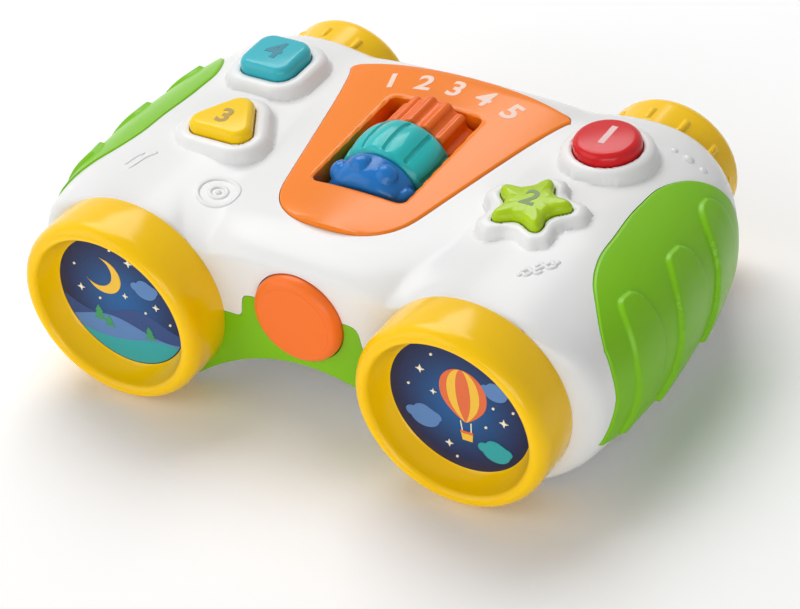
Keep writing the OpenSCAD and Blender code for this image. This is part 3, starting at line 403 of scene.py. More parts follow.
def carve(obj, cuts):
    """Cuts groups of closed shapes out of an object, one group after the other."""
    tools = []
    for shapes in cuts:
        tool = add_object("tool", make_mesh("tool", *joined(shapes)))
        cut = obj.modifiers.new("cut", "BOOLEAN")
        cut.operation, cut.solver, cut.object = "DIFFERENCE", "MANIFOLD", tool
        tools.append(tool)
    bpy.context.view_layer.update()
    solid = bpy.data.meshes.new_from_object(obj.evaluated_get(bpy.context.evaluated_depsgraph_get()))
    obj.modifiers.clear()
    old, obj.data = obj.data, solid
    bpy.data.meshes.remove(old)
    for tool in tools:
        mesh = tool.data
        bpy.data.objects.remove(tool)
        bpy.data.meshes.remove(mesh)


# Outlines of the four top buttons: distance outside an outline, and the outline itself

STAR_SHARPEN = 0.45


def round_distance(x, y, size):
    return np.hypot(x, y) - size.round_radius / MM


def box_distance(dx, dy, corner):
    """Distance outside a rounded box, from how far a point lies past its corner centres."""
    return np.hypot(np.maximum(dx, 0), np.maximum(dy, 0)) + np.minimum(np.maximum(dx, dy), 0) - corner


def line_distance(x, y, a, b):
    """Distance from the line between two points."""
    e = b - a
    t = np.clip(((x - a[0]) * e[0] + (y - a[1]) * e[1]) / max(e.dot(e), 1e-9), 0, 1)
    return np.hypot(x - a[0] - t * e[0], y - a[1] - t * e[1])


def square_distance(x, y, size):
    half, corner = size.square_half / MM, size.square_corner / MM
    return box_distance(np.abs(x) - half + corner, np.abs(y) - half + corner, corner)


def triangle_distance(x, y, size):
    reach, corner = size.triangle_reach / MM, size.triangle_corner / MM
    corners = [reach * np.array([math.cos(a), math.sin(a)]) for a in np.radians([90, 210, 330])]
    best = np.full(np.shape(x), 1e9)
    inside = np.ones(np.shape(x), bool)
    for a, b in zip(corners, corners[1:] + corners[:1]):
        e = b - a
        best = np.minimum(best, line_distance(x, y, a, b))
        inside &= e[0] * (y - a[1]) - e[1] * (x - a[0]) > 0
    return np.where(inside, -best, best) - corner


def star_radius(turn, size):
    up = turn - math.pi / 2
    return size.star_mean / MM + size.star_point / MM * np.cos(5 * up) + STAR_SHARPEN * np.cos(10 * up)


def star_distance(x, y, size):
    turn, r = np.arctan2(y, x), np.maximum(np.hypot(x, y), 1e-6)
    step = 1e-3
    slope = (star_radius(turn + step, size) - star_radius(turn - step, size)) / (2 * step)
    return (r - star_radius(turn, size)) / np.sqrt(1 + (slope / np.maximum(r, 5)) ** 2)


DISTANCE = {"round": round_distance, "square": square_distance, "triangle": triangle_distance,
            "star": star_distance}


def button_outline(kind, size, grow, count=160):
    """Outline of a button grown outwards, as even points round its middle."""
    turn = np.linspace(0, 2 * math.pi, count, endpoint=False)
    low, high = np.zeros(count), np.full(count, 40.0)
    for _ in range(40):
        r = (low + high) / 2
        out = DISTANCE[kind](r * np.cos(turn), r * np.sin(turn), size) > grow
        high, low = np.where(out, r, high), np.where(out, low, r)
    return np.column_stack([r * np.cos(turn), r * np.sin(turn)])


BUTTONS = {
    "round": dict(slot="red", colour="red", rise=4.5, collar_lift=1.5, collar_trim=1.2, top_lift=0.7,
                  label="1", figure=12.5, shift=0.0, print=(0.80, 0.55, 0.55)),
    "star": dict(slot="bright_lime", colour="lime", rise=3.6, collar_lift=0.6, collar_trim=0.6, top_lift=0.0,
                 label="2", figure=9.5, shift=0.0, print=(0.20, 0.30, 0.12)),
    "triangle": dict(slot="yellow", colour="amber", rise=3.6, collar_lift=0.3, collar_trim=0.2, top_lift=0.1,
                     label="3", figure=9.5, shift=-0.9, print=(0.42, 0.28, 0.06)),
    "square": dict(slot="turquoise", colour="turquoise", rise=4.5, collar_lift=1.3, collar_trim=0.2, top_lift=0.9,
                   label="4", figure=11.5, shift=0.0, print=(0.03, 0.22, 0.30)),
}
SIDES = (("right", 1), ("left", -1))


# Shader maths

def feed(tree, slot, item):
    """Links a value to a socket, or sets a constant on it."""
    if isinstance(item, Value):
        tree.links.new(item.socket, slot)
    elif item is not None:
        slot.default_value = item


class Value:
    """A shader socket that takes part in Python expressions."""

    def __init__(self, tree, socket):
        self.tree, self.socket = tree, socket

    def math(self, operation, first, second, clamp=False):
        node = self.tree.nodes.new("ShaderNodeMath")
        node.operation, node.use_clamp = operation, clamp
        feed(self.tree, node.inputs[0], first)
        feed(self.tree, node.inputs[1], second)
        return Value(self.tree, node.outputs[0])

    def __add__(self, other):
        return self.math("ADD", self, other)

    def __sub__(self, other):
        return self.math("SUBTRACT", self, other)

    def __mul__(self, other):
        return self.math("MULTIPLY", self, other)

    def __rsub__(self, other):
        return self.math("SUBTRACT", other, self)

    __radd__ = __add__
    __rmul__ = __mul__


class Finish:
    """Nodes of one material, or of the world."""

    def __init__(self, name, kind="materials", output="ShaderNodeOutputMaterial"):
        self.owner = getattr(bpy.data, kind).new(name)
        self.owner.use_nodes = True
        self.tree = self.owner.node_tree
        self.tree.nodes.clear()
        self.out = self.tree.nodes.new(output)

    def node(self, kind, settings=None, **inputs):
        """Adds a node: settings first, then the values or links of its named sockets."""
        made = self.tree.nodes.new(kind)
        for key, item in (settings or {}).items():
            setattr(made, key, item)
        for key, item in inputs.items():
            feed(self.tree, made.inputs[int(key[1:]) if key[0] == "_" else key.replace("_", " ")], item)
        return made

    def value(self, made, output=0):
        return Value(self.tree, made.outputs[output])

    def object_place(self):
        return self.value(self.node("ShaderNodeTexCoord"), "Object")

    def noise(self, scale, detail=3.0, place=None):
        place = place or self.object_place()
        return self.value(self.node("ShaderNodeTexNoise", None, Vector=place, Scale=scale, Detail=detail))

    def blend(self, factor, first, second):
        """Colour between two others."""
        made = self.node("ShaderNodeMix", {"data_type": "RGBA"}, _0=factor, _6=(*first, 1), _7=(*second, 1))
        return self.value(made, 2)

    def seen(self):
        """1 for rays that come straight from the camera, or by way of a gloss or a clear piece."""
        ray = self.node("ShaderNodeLightPath")
        straight = self.value(ray, "Is Camera Ray") + self.value(ray, "Is Glossy Ray")
        return straight.math("ADD", straight, self.value(ray, "Is Transmission Ray"), clamp=True)

    def mixed(self, factor, first, second):
        """One shader blended into another."""
        return self.node("ShaderNodeMixShader", None, _0=factor, _1=self.value(first), _2=self.value(second))

    def surface(self, shader):
        self.tree.links.new(shader.outputs[0], self.out.inputs["Surface"])
        return self.owner


def darker(colour, share):
    return tuple(c * share for c in colour)


def moulded(name, colour, roughness=0.2, grain=0.00002, shine=0.22):
    """Glossy injection-moulded plastic: slight mottling, uneven polish and a faint skin texture."""
    f = Finish(name)
    place = f.object_place()
    base = f.blend(f.noise(60.0, 4.0, place), darker(colour, 0.965), colour)
    bump = f.node("ShaderNodeBump", None, Height=f.noise(2600.0, 2.0, place), Distance=grain, Strength=0.35)
    polish = f.noise(28.0, 5.0, place) * 0.10 + (roughness - 0.05)
    return f.surface(f.node("ShaderNodeBsdfPrincipled", None, Base_Color=base, Roughness=polish,
                            Normal=f.value(bump), Specular_IOR_Level=shine))


def metal(name, colour, roughness):
    """Plated metal with a fine grain."""
    f = Finish(name)
    grain = f.noise(900.0, 2.0)
    base = f.blend(grain, darker(colour, 0.85), colour)
    return f.surface(f.node("ShaderNodeBsdfPrincipled", None, Base_Color=base, Roughness=grain * 0.15 + roughness,
                            Metallic=1.0))


def printed(f, base, speck):
    """Satin print, uneven where its specks lie."""
    return f.surface(f.node("ShaderNodeBsdfPrincipled", None, Base_Color=base, Roughness=speck * 0.1 + 0.4,
                            Specular_IOR_Level=0.25))


def night_print(name, rim, heart, reach):
    """Dark printed sheet, lighter towards its middle."""
    f = Finish(name)
    place = f.object_place()
    near = f.node("ShaderNodeVectorMath", {"operation": "LENGTH"}, _0=place)
    glow = f.node("ShaderNodeMapRange", {"interpolation_type": "SMOOTHSTEP"}, Value=f.value(near, "Value"),
                  From_Max=reach, To_Min=1.0, To_Max=0.0)
    speck = f.noise(700.0, 2.0, place)
    return printed(f, f.blend(f.value(glow) * 0.9 + speck * 0.1, rim, heart), speck)


def ink(name, colour):
    """Printing ink of one colour."""
    f = Finish(name)
    speck = f.noise(900.0, 2.0)
    return printed(f, f.blend(speck, darker(colour, 0.9), colour), speck)


# Settings a user would change

def colour_prop(name, default, what):
    return FloatVectorProperty(name=name, description=what, subtype="COLOR", size=3, min=0, max=1, default=default)


def length_prop(name, default_mm, what):
    return FloatProperty(name=name, description=what, unit="LENGTH", min=0, default=default_mm * MM, precision=4)


class BINO_PG_sizes(bpy.types.PropertyGroup):
    """Sizes of the moulded pieces."""
    body_half: length_prop("Body half width", 100.0, "Half of the housing's width at the parting line")
    barrel_height: length_prop("Barrel height", 28.0, "Height of the barrel tops above the axes")
    middle_height: length_prop("Middle height", 27.0, "Height of the middle above the axes")
    arch_height: length_prop("Arch height", 19.3, "Height of the finger arch above the table")
    collar_width: length_prop("Collar width", 5.4, "Width of the raised collar round a top button")
    round_radius: length_prop("Round button", 10.3, "Radius of the round button")
    square_half: length_prop("Square button", 9.3, "Half side of the square button")
    square_corner: length_prop("Square corner", 5.0, "Corner radius of the square button")
    triangle_reach: length_prop("Triangle reach", 6.9, "Distance of the triangle's corner centres from its middle")
    triangle_corner: length_prop("Triangle corner", 4.6, "Corner radius of the triangle button")
    star_mean: length_prop("Star size", 9.4, "Mean radius of the star button")
    star_point: length_prop("Star points", 2.2, "Depth of the star's points")
    grip_rise: length_prop("Grip rise", 0.6, "How far the grips stand proud of the shell")
    petal_rise: length_prop("Petal rise", 1.2, "How far the petals stand above the grip")
    eye_ribs: IntProperty(name="Eyepiece ribs", description="Ribs round an eyepiece", min=6, max=24, default=12)


class BINO_PG_colours(bpy.types.PropertyGroup):
    """Colours of the plastics and inks, linear."""
    white: colour_prop("White", (0.785, 0.785, 0.78), "Housing")
    yellow: colour_prop("Yellow", (0.95, 0.57, 0.0), "Rings and eyepieces")
    green: colour_prop("Green", (0.20, 0.51, 0.006), "Grips and bridge")
    orange: colour_prop("Orange", (0.90, 0.22, 0.008), "Panel")
    coral: colour_prop("Coral", (0.90, 0.175, 0.022), "Front button")
    rust: colour_prop("Rust", (0.84, 0.14, 0.005), "Rear roller")
    blue: colour_prop("Blue", (0.010, 0.17, 0.53), "Front roller")
    teal: colour_prop("Teal", (0.02, 0.48, 0.48), "Middle roller")
    red: colour_prop("Red", (0.64, 0.010, 0.014), "Round button")
    lime: colour_prop("Lime", (0.40, 0.60, 0.004), "Star button")
    turquoise: colour_prop("Turquoise", (0.04, 0.44, 0.52), "Square button")
    amber: colour_prop("Amber", (0.92, 0.60, 0.001), "Triangle button")
    night: colour_prop("Night", (0.012, 0.014, 0.06), "Rim of the printed discs")
    dusk: colour_prop("Dusk", (0.008, 0.10, 0.30), "Middle of the printed discs")


ROUGHNESS = {"white": 0.24, "green": 0.3, "coral": 0.32}
PLAIN_ROUGHNESS = 0.18


def plastic(context, key):
    """Material of one colour, made once."""
    name = "plastic_" + key
    if name in bpy.data.materials:
        return bpy.data.materials[name]
    return moulded(name, tuple(getattr(context.scene.bino_colours, key)), ROUGHNESS.get(key, PLAIN_ROUGHNESS))


# Grips: a leaf on the side of each barrel, drawn in v and in s, the way round the section

class Leaf:
    """Outline and petals of the right grip."""
    TOP = [(12.5, 15.5), (16, 19.6), (21.5, 22.8), (28.5, 25.0), (37.8, 26.0), (49, 26.0), (58, 25.7), (66, 25.2),
           (76, 24.3), (85, 22.2), (91, 18.0), (94, 11.6)]
    FRONT = [(12.5, 15.5), (11.3, 9), (11, 0), (9.2, -5.3), (6.6, -11), (5.4, -12.8)]
    REAR = [(94, 11.6), (94.2, 5), (92.6, -1.5), (88.6, -8.5)]
    BOTTOM = [(5.4, -12.8), (14, -15.6), (26, -18.6), (42, -20.6), (58, -20.2), (74, -16.4), (88.6, -8.5)]
    PETALS = [
        dict(front=[(32.8, 21.0), (27.9, 21.2), (25.2, 20.1), (22.9, 17.3), (21.2, 13.4), (19.6, 7.2), (18.9, -1.2),
                    (16.9, -7.9), (12.6, -13.0)],
             rear=[(32.8, 21.0), (34.8, 18.9), (35.6, 10.9), (34.6, 2), (31, -6), (24, -12), (14.6, -14.2)]),
        dict(front=[(59, 19.4), (52.4, 19.8), (49, 17.8), (45.4, 13.4), (43, 6.8), (41.2, -0.9), (37.4, -8),
                    (31.5, -14.5)],
             rear=[(59, 19.4), (62, 16.4), (62.9, 6.8), (61, -2), (56, -9.5), (47, -15.5), (34, -17)]),
        dict(front=[(83.4, 18.9), (79.4, 19.3), (76, 18.5), (72.6, 15.8), (70.5, 11.6), (68.9, 6), (67.2, 0),
                    (63.8, -7), (58.5, -13)],
             rear=[(83.4, 18.9), (86.2, 16.3), (87.2, 10), (86.2, 2), (82.5, -5), (75, -11), (61.5, -15)]),
    ]

    UP_LENGTH, LOW_LENGTH = 58.0, 60.0
    PETAL_EDGE, PETAL_RUN, PETAL_FALL = 0.9, (0.5, 17), 0.72

    def __init__(self, form):
        self.form = form
        self.up = even_angles(400, 40, 27, form.SIDE_POWER)
        self.low = even_angles(400, 40, 31, form.LOW_POWER)

    def way(self, v, z):
        """Way round the section from the parting line to the given height."""
        form = self.form

        def run(height, full, power, angles, length):
            angle = np.arccos(np.clip(np.maximum(height, 0) / full, 0, 1) ** (power / 2))
            return np.interp(angle, angles[::-1], np.linspace(length, 0, len(angles)))
        above = run(z, form.barrel_top(v), form.SIDE_POWER, self.up, self.UP_LENGTH)
        below = run(-z, form.FLAT + form.BELOW, form.LOW_POWER, self.low, self.LOW_LENGTH)
        return np.where(z >= 0, above, -below)

    def place(self, v, s, grow):
        """Point in space for a place on the side."""
        f = np.interp(np.maximum(s, 0), np.linspace(0, self.UP_LENGTH, len(self.up)), self.up)
        g = np.interp(np.maximum(-s, 0), np.linspace(0, self.LOW_LENGTH, len(self.low)), self.low)
        xu, zu = self.form.side_upper(v, f, grow)
        xl, zl = self.form.side_lower(v, g, grow)
        return np.stack([np.where(s >= 0, xu, xl), v, np.where(s >= 0, zu, zl)], axis=-1)

    def edge(self, points, count):
        p = np.asarray(points, float)
        return curve_through(np.column_stack([p[:, 0], self.way(p[:, 0], p[:, 1])]), count)

    def patch(self, rows, cols, grow=0.0):
        """Grid of (v, s) that fills the leaf; rows run from top to bottom."""
        top, low = self.edge(self.TOP, cols), self.edge(self.BOTTOM, cols)
        front, rear = self.edge(self.FRONT, rows), self.edge(self.REAR, rows)
        a = np.linspace(0, 1, rows)[:, None, None]
        b = np.linspace(0, 1, cols)[None, :, None]
        grid = (1 - a) * top[None] + a * low[None] + (1 - b) * front[:, None] + b * rear[:, None]
        grid = grid - ((1 - a) * (1 - b) * top[0] + (1 - a) * b * top[-1] + a * (1 - b) * low[0] + a * b * low[-1])
        if grow:
            centre = grid.reshape(-1, 2).mean(0)
            away = grid - centre
            away = away / np.maximum(np.linalg.norm(away, axis=2, keepdims=True), 1)
            reach = np.maximum(np.abs(2 * a - 1), np.abs(2 * b - 1)) ** 8
            grid = grid + away * grow * reach
        return grid

    def petals(self, v, s):
        """Height of the three petals: a crisp front edge, a plateau that falls to a soft rear edge."""
        high = np.zeros(np.shape(v))
        for petal in self.PETALS:
            front, rear = self.edge(petal["front"], 70), self.edge(petal["rear"], 70)
            loop = np.concatenate([front, rear[::-1]])
            inside, near = np.zeros(np.shape(v), bool), np.full(np.shape(v), 1e9)
            far = near.copy()
            for k, (a, b) in enumerate(zip(loop, np.roll(loop, -1, axis=0))):
                e = b - a
                d = line_distance(v, s, a, b)
                near = np.minimum(near, d)
                far = np.minimum(far, d) if k < len(front) else far
                crosses = (a[1] > s) != (b[1] > s)
                inside ^= crosses & (v < a[0] + (s - a[1]) * e[0] / (e[1] if e[1] else 1e-9))
            fall = 1 - self.PETAL_FALL * ramp(*self.PETAL_RUN, far)
            high = np.maximum(high, np.where(inside, ramp(0, self.PETAL_EDGE, near) * fall, 0))
        return high


class Builder:
    """What every operator needs: the form of the housing, its sizes and the materials."""

    COLLAR_SOFT, COLLAR_SLOPE, COLLAR_BLEND, COLLAR_REACH = 3.2, 3.5, 1.6, 14
    LIP_DROP, LIP_START = 0.7, 1.1
    RING_CLEARANCE, RING_SEAT, SPIGOT_BORE, SPIGOT_DEPTH = 0.2, 0.8, 24.75, 9
    TUBE_BORE, TUBE_DEPTH = 18.2, 6
    KEY_BORE, KEY_SHOULDER = 15.0, 17.2
    OUTSIDE = 2

    def __init__(self, context):
        self.context = context
        self.size, self.colour = context.scene.bino_sizes, context.scene.bino_colours
        self.form = BodyForm(self.size)
        self.button_place = {kind: middle(kind + "_button")[:2] for kind in BUTTONS}

    def plastic(self, key):
        return plastic(self.context, key)

    def button_top(self, kind):
        return extent(kind + "_button")[1][2]

    def collars(self, x, v, height):
        """Lays the four raised collars over the top of the housing."""
        soft = self.COLLAR_SOFT
        for kind, (bx, bv) in self.button_place.items():
            info = BUTTONS[kind]
            wide = self.size.collar_width / MM - info["collar_trim"]
            d = DISTANCE[kind](x - bx, v - bv, self.size)
            outer = np.maximum(0, (d - wide + soft) / soft)
            drop = np.where(outer < 1, round_drop(soft, outer), soft + (outer - 1) * soft * self.COLLAR_SLOPE)
            lip = np.where(d > 0, round_drop(self.LIP_DROP, (self.LIP_START - d) / self.LIP_DROP), self.LIP_DROP)
            ring = self.button_top(kind) - info["rise"] + info["collar_lift"] - drop - lip
            height = np.where(d < self.COLLAR_REACH, soft_max(height, ring, self.COLLAR_BLEND), height)
        return height

    def stations(self, spacing):
        """Sections along the body, closer together at its rounded ends."""
        shoulder, rear = self.form.SHOULDER, self.form.REAR_LENGTH
        front = shoulder * (1 - np.cos(np.linspace(0, math.pi / 2, 13)))
        straight = np.arange(shoulder + spacing, self.form.rear_start, spacing)
        back = self.form.rear_start + rear * np.sin(np.linspace(0, math.pi / 2, int(34 / spacing)))
        return np.concatenate([front, straight, back])

    def half_body(self, upper, spacing, inset=0.0):
        """Closed upper or lower half of the housing."""
        form = self.form
        v = self.stations(spacing)[:, None]
        f = even_angles(int(62 / spacing), 40, 28, form.SIDE_POWER if upper else form.LOW_POWER)[None, :-1]
        side_x, side_z = (form.side_upper if upper else form.side_lower)(v, f, -inset)
        x = np.linspace(AXIS_X, -AXIS_X, int(2 * AXIS_X / spacing) | 1)[None, :] + 0 * v
        z = form.inner_top(x, v) if upper else -form.inner_low(x, v, inset)
        xs = np.concatenate([side_x, x, -side_x[:, ::-1]], axis=1)
        zs = np.concatenate([side_z, z, side_z[:, ::-1]], axis=1)
        vs = v + 0 * xs
        if upper:
            zs = self.collars(xs, vs, zs)
        skin = np.stack([xs, vs, zs], axis=2)
        ends = np.linspace(1, 0, 8, endpoint=False)[:, None, None] * [0, 0, 1]
        grid = np.concatenate([skin[0] * (1 - ends), skin, (skin[-1] * (1 - ends))[::-1]])
        rows, cols = grid.shape[:2]
        return grid.reshape(-1, 3), grid_faces(rows, cols, flip=not upper) + [tuple(grid_edge(rows, cols))]

    def bores(self):
        """Sockets of the rings and the tubes of the eyepieces."""
        out, socket = [], RING_RADIUS + self.RING_CLEARANCE
        steps = [(socket, -self.OUTSIDE), (socket, self.RING_SEAT), (self.SPIGOT_BORE, self.RING_SEAT),
                 (self.SPIGOT_BORE, self.SPIGOT_DEPTH)]
        tube = [(self.TUBE_BORE, BODY_LENGTH - self.TUBE_DEPTH), (self.TUBE_BORE, BODY_LENGTH + self.OUTSIDE)]
        for _, sign in SIDES[::-1]:
            out += [lathe(steps, (sign * AXIS_X, 0)), lathe(tube, (sign * AXIS_X, 0))]
        return out

    def key_bore(self, *inner):
        """Bore of the front button, with a wider end inside where that is given."""
        x, _, z = middle("front_button")
        return lathe([(self.KEY_BORE, -self.OUTSIDE), (self.KEY_BORE, 6), *inner], (x, z))

    def bridge_outline(self, grow, drop):
        """Front view of the bridge: wall over the arch and the tongue round the front button."""
        ring, wide = RING_RADIUS + self.RING_CLEARANCE - grow, 43.5
        a = np.radians(np.linspace(0, 95, 40))
        edge = np.column_stack([AXIS_X - ring * np.cos(a), -ring * np.sin(a)])
        edge = edge[edge[:, 0] <= wide]
        x = np.linspace(-44, 44, 89)
        low = np.column_stack([x, -self.form.arch - self.form.ARCH_FALL * x * x - drop])
        low = low[np.abs(x) < edge[-1, 0] - 0.5]
        side = grow + curve_through([(22.9, 0), (21.6, 0.25), (20.9, 1.2), (20.5, 3), (20.0, 6), (18.9, 7.9),
                                     (16.9, 8.6), (15.2, 8.7)], 28)
        mirror, lift = [-1, 1], [0, grow]
        return np.concatenate([low, edge[::-1] + lift, side, side[::-1] * mirror, edge * mirror + lift])

    def grip_recess(self, sign):
        """Shape that cuts the seat of a grip into the shell."""
        leaf = Leaf(self.form)
        grid = leaf.patch(60, 70, 0.14)
        outer, inner = (leaf.place(grid[..., 0], grid[..., 1], grow) for grow in (4.0, -1.2))
        flip = np.array([sign, 1, 1])
        return slab(outer * flip, inner * flip)


# Operators

class PieceOperator:
    bl_options = {"REGISTER", "UNDO"}

    def execute(self, context):
        self.build(Builder(context))
        return {"FINISHED"}


class BINO_OT_housing(PieceOperator, bpy.types.Operator):
    """White upper and lower shells with collars, recesses and openings"""
    bl_idname = "bino.housing"
    bl_label = "Housing"

    ABOVE, BELOW = 60, -AXIS_Z - 2
    WELL_GAP, PANEL_GAP, TROUGH_GAP, BRIDGE_GAP = 0.35, 0.15, 0.1, 0.15
    SCREW_HOLE = 3.1
    SPEAKER_PITCH, SPEAKER_HOLE, SPEAKER_REACH = 4, 1.1, 11

    def build(self, b):
        white = b.plastic("white")
        wells = [prism(button_outline(kind, b.size, self.WELL_GAP) + place, 6, self.ABOVE)
                 for kind, place in b.button_place.items()]
        panel = PanelForm(b)
        seat = prism(panel.outline(self.PANEL_GAP), panel.floor, self.ABOVE)
        trough = prism(plan("roller_cradle", self.TROUGH_GAP), -1, 40)
        key_bore = b.key_bore((b.KEY_SHOULDER, 6), (b.KEY_SHOULDER, 12))
        grips = [b.grip_recess(1), b.grip_recess(-1)]
        bridge = [prism(b.bridge_outline(self.BRIDGE_GAP, 6), -b.OUTSIDE, 2.75, "v")]
        piece("upper_housing", b.half_body(True, 0.8), white, "white_shell", replaces=["upper_shell"],
              cuts=[b.bores() + wells + [seat] + grips, [trough, key_bore], bridge])
        holes = [prism(oval(x, v, self.SCREW_HOLE), self.BELOW, -6) for x, v in self.screws()]
        piece("lower_housing", b.half_body(False, 1.0, 0.12), white, "white_shell", replaces=["lower_shell"],
              cuts=[b.bores() + holes + grips + self.underside(), [key_bore], bridge])
        piece("relief", joined(self.reliefs(b.form)), white, "white_shell", angle=60)

    @staticmethod
    def reliefs(form):
        """Raised motifs on the tops of the barrels: target rings, ripples and rows of dots."""
        turn, t = np.linspace(0, 2 * math.pi, 72), np.linspace(-1, 1, 40)
        dot = np.array([-0.05, 0.05])
        out = []

        def line(x, v, wide=0.75):
            out.append(ridge(np.column_stack([x, v]), wide, form.top))
        x, v = -39.3, 20.6
        for radius in (2.6, 6.2):
            line(x + radius * np.cos(turn), v + radius * np.sin(turn))
        line(x + dot, v + 0 * dot, 1.0)
        for k, half in ((-1, 4.2), (0, 6.4), (1, 4.2)):
            line(67.0 + 0.55 * half * t + 1.2 * k, 24.2 + 3.0 * k + half * 0.5 * t + 0.8 * np.sin(2 * math.pi * t))
        for k, half in enumerate((3.2, 4.6)):
            line(-71.5 + 3.2 * k + 0.35 * half * t, 24.0 + half * t + 0.9 * np.cos(math.pi * t), 0.7)
        for k, wide in enumerate((1.1, 1.6, 1.1)):
            line(72.6 + 5.0 * k + dot, 95.6 - 0.6 * k + 0 * dot, wide)
        return out

    @staticmethod
    def screws():
        """Places of the housing screws, from the frame's own solids."""
        co = np.array([q.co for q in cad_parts["housing_screws"].data.vertices])[:, :2] / MM - ORIGIN[:2]
        apart, found = 8, []
        for place in co:
            if not any(np.hypot(*(place - other)) < apart for other in found):
                near = co[np.hypot(*(co - place).T) < apart]
                found.append((near.min(0) + near.max(0)) / 2)
        return found

    def underside(self):
        """Openings in the bottom: speaker holes, battery bay and power switch."""
        x, v, _ = middle("speaker")
        pitch, out = self.SPEAKER_PITCH, []
        for i in range(-3, 4):
            for j in range(-3, 4):
                dx, dv = pitch * (i + j / 2), pitch * 0.866 * j
                if math.hypot(dx, dv) < self.SPEAKER_REACH:
                    hole = oval(x + dx, v + dv, self.SPEAKER_HOLE, None, 24)
                    out.append(prism(hole, self.BELOW, 4 - AXIS_Z))
        for node, gap, top in (("battery_door", 0.15, 1.5), ("power_bezel", -1.85, 4)):
            out.append(prism(plan(node, gap), self.BELOW, top - AXIS_Z))
        return out


class BINO_OT_grips(PieceOperator, bpy.types.Operator):
    """Green side grips with three raised petals each"""
    bl_idname = "bino.grips"
    bl_label = "Grips"

    def build(self, b):
        leaf = Leaf(b.form)
        rows, cols = 170, 210
        grid = leaf.patch(rows, cols)
        v, s = grid[..., 0], grid[..., 1]
        border = np.minimum(self.from_edge(rows, 75)[:, None], self.from_edge(cols, 84)[None, :])
        rise = b.size.grip_rise / MM - eased(0.9, 1.2, border)
        outer = leaf.place(v, s, rise + b.size.petal_rise / MM * leaf.petals(v, s) * ramp(0.4, 3, border))
        inner = leaf.place(v, s, -1.1)
        for side, sign in SIDES:
            flip = np.array([sign, 1, 1])
            piece(side + "_grip", slab(outer * flip, inner * flip), b.plastic("green"), "lime_green",
                  replaces=[side + "_grip_upper", side + "_grip_lower"], angle=50)

    @staticmethod
    def from_edge(count, length):
        """Rough distance of each row from the nearer edge."""
        k = np.arange(count)
        return np.minimum(k, k[::-1]) * length / count


class BINO_OT_bridge(PieceOperator, bpy.types.Operator):
    """Green bridge over the finger arch"""
    bl_idname = "bino.bridge"
    bl_label = "Bridge"

    def build(self, b):
        piece("bridge", prism(b.bridge_outline(0, 0), 0.0, 2.6, "v"), b.plastic("green"), "lime_green",
              replaces=["front_bridge"], cuts=[[b.key_bore()]])


class BINO_OT_rings(PieceOperator, bpy.types.Operator):
    """Yellow front rings with rounded rims and a stepped throat"""
    bl_idname = "bino.rings"
    bl_label = "Front rings"

    def build(self, b):
        r, front, back, rim = RING_RADIUS + 0.9, RING_FRONT, 0.6, 3.2
        picture = extent("right_picture_disc")[0][1]
        crest = r - rim
        profile = [(r - 0.7, back), (r - 0.2, back - 0.5), (r, back - 1.2), (r, front + 9), (r, front + 6)]
        for a in np.radians(np.linspace(0, 90, 16)):
            profile.append((crest + rim * math.cos(a), front + 5.0 * (1 - math.sin(a))))
        for a in np.radians(np.linspace(0, 70, 10))[1:]:
            profile.append((crest - 2.1 * math.sin(a), front + 2.4 * (1 - math.cos(a))))
        profile += [(25.3, front + 3.0), (24.3, front + 5.2), (23.2, picture - 0.7), (22.75, picture - 0.1)]
        profile += [(22.6, picture + 0.05), (22.95, picture + 0.2), (22.95, 7.0), (24.6, 7.0), (24.6, back)]
        for side, sign in SIDES:
            shape = lathe(profile, (sign * AXIS_X, 0), 192, loop=True)
            piece(side + "_front_ring", shape, b.plastic("yellow"), "yellow", replaces=[side + "_ring"], angle=32)


class BINO_OT_eyepieces(PieceOperator, bpy.types.Operator):
    """Yellow eyepieces with grip ribs that turn on their tubes"""
    bl_idname = "bino.eyepieces"
    bl_label = "Eyepieces"

    def build(self, b):
        low, high = extent("right_eyepiece")
        front, rear, r = low[1], high[1] + 2.0, 22.0
        ribs = b.size.eye_ribs

        def ripple(turn, radius, v):
            phase = (turn * ribs / (2 * math.pi) + 0.27) % 1 - 0.5
            bump = np.sqrt(np.clip(1 - (phase / 0.09) ** 2, 0, 1))
            along = ramp(front + 0.8, front + 2.2, v) * (1 - ramp(rear - 8.4, rear - 7.0, v))
            return 0.75 * bump * along * (radius > r - 0.6)
        profile = [(r - 0.4, front), (r, front + 0.4)]
        profile += [(r, v) for v in np.linspace(front + 0.8, rear - 4.0, 26)]
        for a in np.radians(np.linspace(0, 90, 14))[1:]:
            profile.append((r - 2.8 * (1 - math.cos(a)), rear - 3.8 * (1 - math.sin(a))))
        profile += arc((19.2, rear - 0.6), 0.6, 90, 180, 5)
        profile += [(17.2, rear - 2.2), (15.3, rear - 3.2), (15.2, rear - 4.4), (19.8, rear - 4.4),
                    (19.8, front + 5.7), (18.06, front + 5.7), (18.06, front)]
        for side, sign in SIDES:
            shape = lathe(profile, (sign * AXIS_X, 0), 288, ripple, True)
            piece(side + "_eyecup_shell", shape, b.plastic("yellow"), "yellow", side + "_eyecup",
                  [side + "_eyepiece"], 40)


